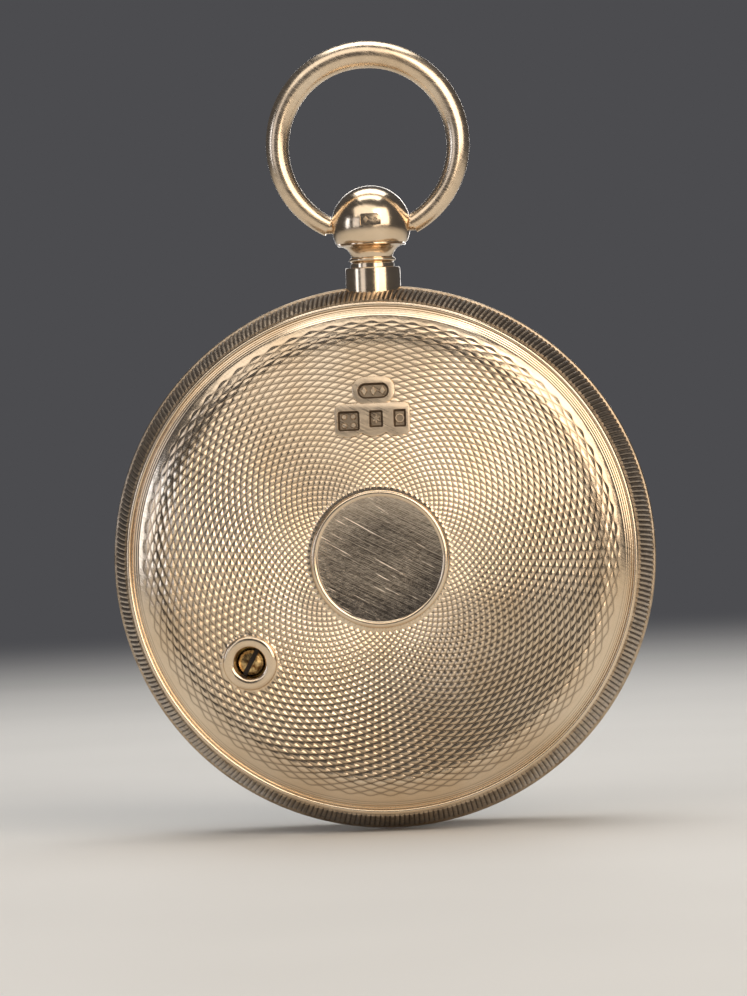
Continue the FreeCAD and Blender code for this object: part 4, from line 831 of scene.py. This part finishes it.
def make_adjusting_screw():
    """The brass screw in the hole, with a crowned head and a slot."""
    middle = Vector((screw_x, 0, screw_z + centre.z))
    head_y, seat_y = screw_low.y, screw_low.y + SCREW_HEAD_H
    edge = 0.05 * MM
    crown = arc_through((0, head_y), (SCREW_HEAD_R * 0.5, head_y + SCREW_CROWN * 0.25),
                        (SCREW_HEAD_R - edge, head_y + SCREW_CROWN), 8)
    outline = [*crown, (SCREW_HEAD_R, head_y + SCREW_CROWN + edge), (SCREW_HEAD_R, seat_y),
               (SCREW_SHANK_R, seat_y), (SCREW_SHANK_R, screw_high.y), (0, screw_high.y)]
    place = Matrix.Translation(middle + Y * head_y) @ Matrix.Rotation(-SCREW_SLOT_TURN, 4, Y)
    slot = box(3 * SCREW_HEAD_R, 2 * SCREW_SLOT_DEPTH, SCREW_SLOT_W, place)
    bm = cut(turned(outline, 64, middle), slot)
    # The slot's deeper walls and floor get the painted shade of its depth.
    for face in bm.faces:
        spot = face.calc_center_median()
        in_slot = spot.y > head_y + SCREW_SLOT_DEPTH * 0.45 and spot.y < head_y + SCREW_SLOT_DEPTH * 1.05
        if in_slot and hypot(spot.x - middle.x, spot.z - middle.z) < SCREW_HEAD_R * 0.97:
            face.material_index = 1
    piece(bm, "slotted_screw", (screw_brass, slot_painted_shade), "adjusting_screw",
          ("adjusting_screw",))


# ---- Band, bezel and glass ----
def make_band():
    """The milled band: two runs of slanting rounded ridges, with a plain bead between them."""
    half = arc_through((BAND_EDGE_R, -band_half), BAND_BULGE, (MILLING_END_R, -MILLING_END_Y), 14)
    half.append((MILLING_END_R - 0.10 * MM, -MIDDLE_BEAD - 0.07 * MM))
    bead = arc((case_r - MIDDLE_BEAD, 0), MIDDLE_BEAD, -84, 84, 12)
    curve = half + bead + [(radius, -height) for radius, height in reversed(half)]
    inside = [(BAND_BORE_R, band_half), (BAND_BORE_R, FLANGE_T - band_half), (FLANGE_R, FLANGE_T - band_half),
              (FLANGE_R, -band_half)]
    bm = turned(curve + inside, RIDGES * RIDGE_STEPS)

    def valley(spot):
        """How deep a point of the outside lies between two ridges, from 0 to 1, and 0 off the milling."""
        offset = spot - centre
        across = min(band_half - abs(offset.y), abs(offset.y) - MILLING_END_Y)
        if hypot(offset.x, offset.z) < BAND_EDGE_R - RIDGE_DEPTH - NEAR or across < -0.001 * MM:
            return 0.0
        angle = atan2(offset.z, offset.x) + slant(offset.y)
        between = 1 - abs(cos(RIDGES / 2 * angle)) ** RIDGE_ROUNDNESS
        return between * smooth_step(across / RIDGE_RUN_OUT + RIDGE_END_SHARE)

    def slant(height):
        return (height + band_half) * RIDGE_SLANT / case_r

    for vert in bm.verts:
        angle = -slant(vert.co.y)
        offset = Matrix.Rotation(-angle, 3, Y) @ (vert.co - centre)
        vert.co = centre + offset
        shrink = 1 - RIDGE_DEPTH * valley(vert.co) / case_r
        vert.co.x = centre.x + offset.x * shrink
        vert.co.z = centre.z + offset.z * shrink
    made = piece(bm, "milled_band", (milled_gold,), "case", ("case_band",), crease=60)
    # The valleys between the ridges are darkened by this: partly dirt, partly painted shade.
    mark_hollows(made, valley)


def make_bezel():
    """The polished bezel, rounded from its foot up to the flat land that stands proud of the glass."""
    top = bezel_high.y
    ledge = top - BEZEL_LIP_T
    seat = ledge - GLASS_FLANGE_T
    foot_y = band_half + LIP_H / 2
    land_in, land_out = BEZEL_LAND
    bulge = ((LIP_R * 2 + land_out) / 3, (foot_y + top * 2) / 3)
    skirt_r = BAND_BORE_R - SNAP_GAP
    outline = [(LIP_R, band_half), (LIP_R, foot_y - 0.12 * MM), (LIP_R - 0.10 * MM, foot_y - 0.06 * MM)]
    outline += arc_through((LIP_R, foot_y), bulge, (land_out, top), 20)
    outline += arc_through((land_in, top), ((land_in + GLASS_OPENING_R) / 2, top - 0.14 * MM),
                           (GLASS_OPENING_R, top - BEZEL_LIP_T / 2), 6)
    outline += [(GLASS_OPENING_R, ledge), (GLASS_R, ledge), (GLASS_R, seat), (BEZEL_BORE_R, seat),
                (BEZEL_BORE_R, band_half - BEZEL_SKIRT_H), (skirt_r, band_half - BEZEL_SKIRT_H),
                (skirt_r, band_half)]
    piece(turned(outline, 288), "polished_bezel", (polished_gold,), "case", ("bezel",))


def make_glass():
    """The flat glass with its ground bevel."""
    under, top = glass_low.y, glass_high.y
    ledge = under + GLASS_FLANGE_T
    edge, foot = GLASS_R - SNAP_GAP, GLASS_OPENING_R - SNAP_GAP
    outline = [(0, under), (edge, under), (edge, ledge), (foot, ledge), (foot - GLASS_BEVEL_W, top), (0, top)]
    piece(turned(outline, 192), "bevelled_glass", (glass_clear,), "case", ("glass",), crease=12)


# ---- Pendant and bow ----
def make_pendant():
    """The ball with its lip, coved neck and bead, bored for the bow's pins, with a small punch mark."""
    lip_high = -BALL_FLAT
    lip_low = lip_high - PENDANT_LIP_H
    neck_low = lip_low - NECK_H
    bead_y = (lip_low + neck_low) / 2 + 0.1 * MM
    spigot_low = case_r * SPIGOT_END + centre.z - ball_centre.z
    cut_angle = -degrees(asin(BALL_FLAT / BALL_R))
    ball_cut_r = sqrt(BALL_R**2 - BALL_FLAT**2)
    groove_r = ball_cut_r - 0.35 * MM
    outline = arc((0, 0), BALL_R, 90, cut_angle + 3, 36)
    outline += [(ball_cut_r - 0.05 * MM, lip_high), (groove_r, lip_high - 0.02 * MM),
                (groove_r, lip_high - 0.10 * MM), (PENDANT_LIP_R - 0.05 * MM, lip_high - 0.11 * MM)]
    outline += arc_through((PENDANT_LIP_R, lip_high - 0.18 * MM),
                           ((PENDANT_LIP_R + NECK_R * 2) / 3, (lip_high + lip_low) / 2),
                           (NECK_R + 0.1 * MM, lip_low), 10)
    outline.append((NECK_R, bead_y + 0.22 * MM))
    outline += arc_through((NECK_R, bead_y + BEAD_HALF_H), (BEAD_R, bead_y),
                           (NECK_R, bead_y - BEAD_HALF_H), 8)
    outline += [(NECK_R - 0.05 * MM, bead_y - 0.28 * MM), (NECK_R + NECK_FOOT_W, bead_y - 0.34 * MM),
                (NECK_R + NECK_FOOT_W, neck_low), (SPIGOT_R, neck_low), (SPIGOT_R, spigot_low),
                (0, spigot_low)]
    bm = turned(outline, 128, ball_centre, Z, X)
    tools = []
    for side in (-1, 1):
        start = ball_centre + X * side * (BALL_R - BOW_PIN_DEPTH - BOW_PIN_PLAY)
        tools.append(rod(BOW_PIN_R + BOW_PIN_PLAY, start, ball_centre + X * side * 2 * BALL_R))
    surface = -sqrt(BALL_R**2 - BALL_MARK_X**2 - BALL_MARK_Z**2)
    mark = Matrix.Translation(ball_centre + Vector((BALL_MARK_X, surface, BALL_MARK_Z)))
    tools.append(prism(rounded_rectangle(*BALL_MARK), mark, -0.3 * MM, BALL_MARK_DEPTH, BALL_MARK_TAPER))
    piece(cut(bm, joined(*tools)), "ball_pendant", (polished_gold,), "case", ("pendant",),
          crease=40)
    motifs = []
    for side in (-1, 1):
        place = mark @ Matrix.Translation((side * BALL_LOZENGE_X, 0, 0))
        motifs.append(prism(lozenge(*BALL_LOZENGE), place, 0.18 * MM, 0.10 * MM, BALL_LOZENGE_TAPER))
    piece(joined(*motifs), "ball_motifs", (punched_gold,), "case")


def make_pendant_tube():
    """The short tube between the neck and the band, with a rounded top edge."""
    top = -BALL_FLAT - PENDANT_LIP_H - NECK_H
    low = case_r * TUBE_END + centre.z - ball_centre.z
    rounding = 0.12 * MM
    outline = [(SPIGOT_R, top), *arc((TUBE_R - rounding, top - rounding), rounding, 90, 0, 5), (TUBE_R, low),
               (SPIGOT_R, low)]
    piece(turned(outline, 96, ball_centre, Z, X), "pendant_tube", (polished_gold,), "case",
          ("pendant_collar",))


def make_bow():
    """The tapering ring, hollowed at its ends to fit the ball, with the two pins that turn in it."""
    ring_middle = -Z * (BOW_R - bow_top_wire_r)
    rise = ring_middle.z - ball_centre.z
    end_angle = acos(-rise / BOW_R)
    bm = bmesh.new()
    bmesh.ops.create_circle(bm, cap_ends=False, segments=40, radius=MM)
    bmesh.ops.transform(bm, verts=bm.verts, matrix=Matrix.Translation(ring_middle + Z * BOW_R)
                        @ Matrix.Rotation(pi / 2, 4, Y))
    bmesh.ops.rotate(bm, verts=bm.verts, cent=ring_middle, matrix=Matrix.Rotation(-end_angle, 3, Y))
    bmesh.ops.spin(bm, geom=bm.verts[:] + bm.edges[:], cent=ring_middle, axis=Y, dvec=(0, 0, 0),
                   angle=2 * end_angle, steps=160)
    for vert in bm.verts:
        offset = vert.co - ring_middle
        angle = atan2(offset.x, offset.z)
        wire_middle = ring_middle + Vector((sin(angle), 0, cos(angle))) * BOW_R
        share = abs(angle) / end_angle
        wire_r = bow_top_wire_r + (BOW_END_WIRE_R - bow_top_wire_r) * share
        vert.co = wire_middle + (vert.co - wire_middle) * (wire_r / MM)
    bmesh.ops.holes_fill(bm, edges=[edge for edge in bm.edges if edge.is_boundary], sides=0)
    clean(bm)
    ball_space = bmesh.new()
    bmesh.ops.create_uvsphere(ball_space, u_segments=96, v_segments=48, radius=BALL_R + BOW_GAP)
    bmesh.ops.translate(ball_space, verts=ball_space.verts, vec=ball_centre)
    bm = cut(bm, ball_space)
    for side in (-1, 1):
        start = ball_centre + X * side * (BALL_R - BOW_PIN_DEPTH)
        end = ball_centre + X * side * (BALL_R + BOW_GAP + BOW_END_WIRE_R / 2)
        bm = cut(bm, rod(BOW_PIN_R, start, end), "UNION")
    piece(bm, "ring_bow", (worn_gold,), "bow", ("bow",), crease=40)


# ---- Dial and hand ----
def scale_angle(reading):
    """A reading's angle, clockwise from the top as the dial is looked at."""
    return radians(SCALE_SWEEP) * (reading - (SCALE_LOW + SCALE_HIGH) / 2) / (SCALE_HIGH - SCALE_LOW)


def dial_place(angle, radius, height):
    """A place on the dial: across it to the reader's right, out along the radius, and up out of the dial."""
    out = Vector((-sin(angle), 0, cos(angle)))
    across = Vector((-cos(angle), 0, -sin(angle)))
    place = Matrix((across, out, Y)).transposed().to_4x4()
    place.translation = centre + out * radius + Y * height
    return place


def lettering(text, height):
    """A word or number as a thin mesh, standing on its baseline's middle."""
    curve = bpy.data.curves.new("lettering", "FONT")
    curve.body = text
    curve.size = height * FONT_SIZE
    curve.extrude = ENGRAVING_T / 2
    curve.align_x = "CENTER"
    curve.align_y = "CENTER"
    curve.resolution_u = 4
    holder = placed("lettering", curve)
    mesh = bpy.data.meshes.new_from_object(holder.evaluated_get(bpy.context.evaluated_depsgraph_get()))
    bm = bmesh.new()
    bm.from_mesh(mesh)
    bpy.data.objects.remove(holder)
    bpy.data.meshes.remove(mesh)
    return bm


def on_dial(bm, angle, radius):
    bmesh.ops.transform(bm, verts=bm.verts, matrix=dial_place(angle, radius, dial_high.y + ENGRAVING_T / 2))
    return bm


def make_scale():
    """The engraved scale in inches of mercury, its numerals and its three weather words."""
    parts = []
    steps = round((SCALE_HIGH - SCALE_LOW) * TICKS_PER_INCH)
    for i in range(steps + 1):
        length = next(TICK_LENGTHS[every] for every in TICK_LENGTHS if i % every == 0)
        tick = box(TICK_W * (HEAVY_TICK if i % 10 == 0 else 1), length, ENGRAVING_T, Matrix())
        angle = scale_angle(SCALE_LOW + i / TICKS_PER_INCH)
        parts.append(on_dial(tick, angle, TICK_R + length / 2))
    for radius in (TICK_R - SCALE_RING_W, TICK_R - 3.5 * SCALE_RING_W):
        ring = [(radius, dial_high.y), (radius, dial_high.y + ENGRAVING_T),
                (radius + SCALE_RING_W, dial_high.y + ENGRAVING_T), (radius + SCALE_RING_W, dial_high.y)]
        parts.append(turned(ring, 192))
    for inch in range(round(SCALE_LOW), round(SCALE_HIGH) + 1):
        parts.append(on_dial(lettering(str(inch), NUMERAL_H), scale_angle(inch), NUMERAL_R))
    for reading, word in LEGENDS.items():
        for i, letter in enumerate(word):
            angle = scale_angle(reading) + (i - (len(word) - 1) / 2) * LEGEND_SPACING
            parts.append(on_dial(lettering(letter, LEGEND_H), angle, LEGEND_R))
    piece(joined(*parts), "dial_engraving", (wax,), "case")


def make_hand():
    """The blued hand, with a ridge down the middle of its blade, a round hub and a broad balancing tail."""
    thick = pointer_high.y - pointer_low.y
    # Each is a place along the hand, and half the hand's width there.
    stations = ((-HAND_TAIL_L, HAND_TAIL_W / 2), (-HAND_TAIL_L * 0.85, HAND_TAIL_W / 2), (0, HAND_W / 2),
                (HAND_L * 0.6, HAND_W * 0.24), (HAND_L, HAND_W * 0.05))
    bm = bmesh.new()
    bmesh.ops.create_grid(bm, x_segments=2, y_segments=len(stations) - 1, size=1)
    bmesh.ops.solidify(bm, geom=bm.verts[:] + bm.edges[:] + bm.faces[:], thickness=1)
    levels = sorted({round(vert.co.z, 3) for vert in bm.verts})
    for vert in bm.verts:
        along, half = stations[round((vert.co.y + 1) / 2 * (len(stations) - 1))]
        upper = round(vert.co.z, 3) == levels[-1]
        height = thick * (HAND_RIDGE if abs(vert.co.x) < 0.5 else HAND_EDGE) if upper else 0.0
        vert.co = (round(vert.co.x) * half, along, height)
    bmesh.ops.transform(bm, verts=bm.verts, matrix=dial_place(scale_angle(REST_READING), 0, pointer_low.y))
    hub_y = pointer_low.y
    hub = [(0, hub_y), (HAND_HUB_R, hub_y), (HAND_HUB_R, hub_y + thick * HAND_HUB_EDGE),
           (HAND_HUB_R - 0.05 * MM, pointer_high.y), (0, pointer_high.y)]
    bm = cut(clean(bm), turned(hub, 64), "UNION")
    piece(bm, "blued_hand", (blued,), "pointer", ("pointer",), crease=8)


# ---- Floor, lights and camera ----
STUDIO_DARK = "#4c4c4f"
FLOOR_SIZE = 6
FLOOR_NEAR, FLOOR_FAR = 0.10, 0.55  # where the pale floor's fade into the dark of the studio begins and ends
VIEW_HEIGHT = 88.1 * MM  # what the picture takes in at the pendant's distance
VIEW_DISTANCE = 420 * MM
VIEW_RIGHT, VIEW_UP, VIEW_ROLL = radians(2.9), radians(0.45), radians(2.36)
VIEW_MIDDLE = Vector((-0.76, 0, 5.23)) * MM  # the picture's middle, from the middle of the case


def make_floor():
    """A plain pale floor that the case's edge stands on, and that fades into the dark of the studio."""
    bm = bmesh.new()
    bmesh.ops.create_grid(bm, x_segments=1, y_segments=1, size=FLOOR_SIZE)
    bmesh.ops.translate(bm, verts=bm.verts, vec=(0, 0, band_low.z - 0.02 * MM))
    mesh = mesh_of(bm, "floor")
    made, tree = material("floor_paper", Roughness=0.8, Specular_IOR_Level=0.2)
    fibres = grain(tree, 60)
    tone = add(tree, "ShaderNodeMix", {0: fibres, 6: linear("#e2e0db"), 7: linear("#dcdad5")}, 2,
               data_type="RGBA")
    linked(made, Base_Color=tone)
    place = add(tree, "ShaderNodeTexCoord", out=3)
    away = add(tree, "ShaderNodeVectorMath", {0: place, 1: (0, 0, band_low.z)}, 1, operation="DISTANCE")
    fade = add(tree, "ShaderNodeMapRange", {"Value": away, "From Min": FLOOR_NEAR, "From Max": FLOOR_FAR},
               interpolation_type="SMOOTHERSTEP")
    dark = add(tree, "ShaderNodeEmission", {"Color": linear(STUDIO_DARK)})
    paper = tree.nodes["Principled BSDF"].outputs[0]
    surface = add(tree, "ShaderNodeMixShader", {0: fade, 1: paper, 2: dark})
    tree.links.new(surface, tree.nodes["Material Output"].inputs["Surface"])
    mesh.materials.append(made)
    placed("floor", mesh)


def aim(made, spot, target, roll=0.0):
    """Stands a light or the camera at a spot, looking at a target."""
    looking = (spot - target).normalized()
    right = Z.cross(looking).normalized()
    up = looking.cross(right)
    rolled_up = up * cos(roll) + right * sin(roll)
    rolled_right = right * cos(roll) - up * sin(roll)
    facing = Matrix((rolled_right, rolled_up, looking)).transposed().to_4x4()
    made.matrix_world = Matrix.Translation(spot) @ facing


def add_light(name, direction, distance, size, brightness, colour):
    """A soft panel of light on one side of the case, as bright all over as the brightness says."""
    light = bpy.data.lights.new(name, "AREA")
    light.shape = "RECTANGLE"
    light.size, light.size_y = size
    light.energy = brightness * pi * size[0] * size[1]
    light.color = linear(colour)[:3]
    aim(placed(name, light), centre + Vector(direction).normalized() * distance, centre)


def make_lights():
    world = bpy.data.worlds.new("studio")
    world.use_nodes = True
    world.node_tree.nodes["Background"].inputs["Color"].default_value = linear(STUDIO_DARK)
    bpy.context.scene.world = world
    add_light("key_panel", (0.58, -0.72, 0.42), 0.7, (0.50, 0.60), 2.5, "#fff2e2")
    add_light("top_panel", (-0.12, -0.70, 0.70), 0.7, (0.95, 0.40), 1.3, "#fff8f0")
    add_light("low_panel", (0.30, -0.93, 0.10), 0.7, (0.16, 0.34), 2.6, "#fff2e2")
    add_light("left_panel", (-0.64, -0.74, 0.06), 0.7, (0.24, 0.46), 1.0, "#f4f5ff")
    add_light("left_edge_panel", (-0.93, -0.36, 0.10), 0.7, (0.14, 0.34), 2.6, "#dfe9ff")
    add_light("overhead_panel", (0.0, 0.25, 1.0), 0.6, (0.50, 0.50), 2.6, "#ffffff")
    add_light("dial_panel", (0.0, 1.0, 0.12), 0.9, (0.32, 0.32), 4.0, "#ffffff")


def make_camera():
    camera = bpy.data.cameras.new("camera")
    camera.lens = camera.sensor_width * VIEW_DISTANCE / VIEW_HEIGHT
    camera.clip_start = 0.01
    made = placed("camera", camera)
    away = Vector((sin(VIEW_RIGHT), -cos(VIEW_RIGHT), tan(VIEW_UP))).normalized()
    target = centre + VIEW_MIDDLE
    aim(made, target + away * VIEW_DISTANCE, target, VIEW_ROLL)
    bpy.context.scene.camera = made


finish_nodes()
make_back()
make_punch_marks()
make_collar()
make_adjusting_screw()
make_band()
make_bezel()
make_glass()
make_pendant()
make_pendant_tube()
make_bow()
make_scale()
make_hand()
make_floor()
make_lights()
make_camera()
bpy.context.scene.view_settings.view_transform = "Standard"
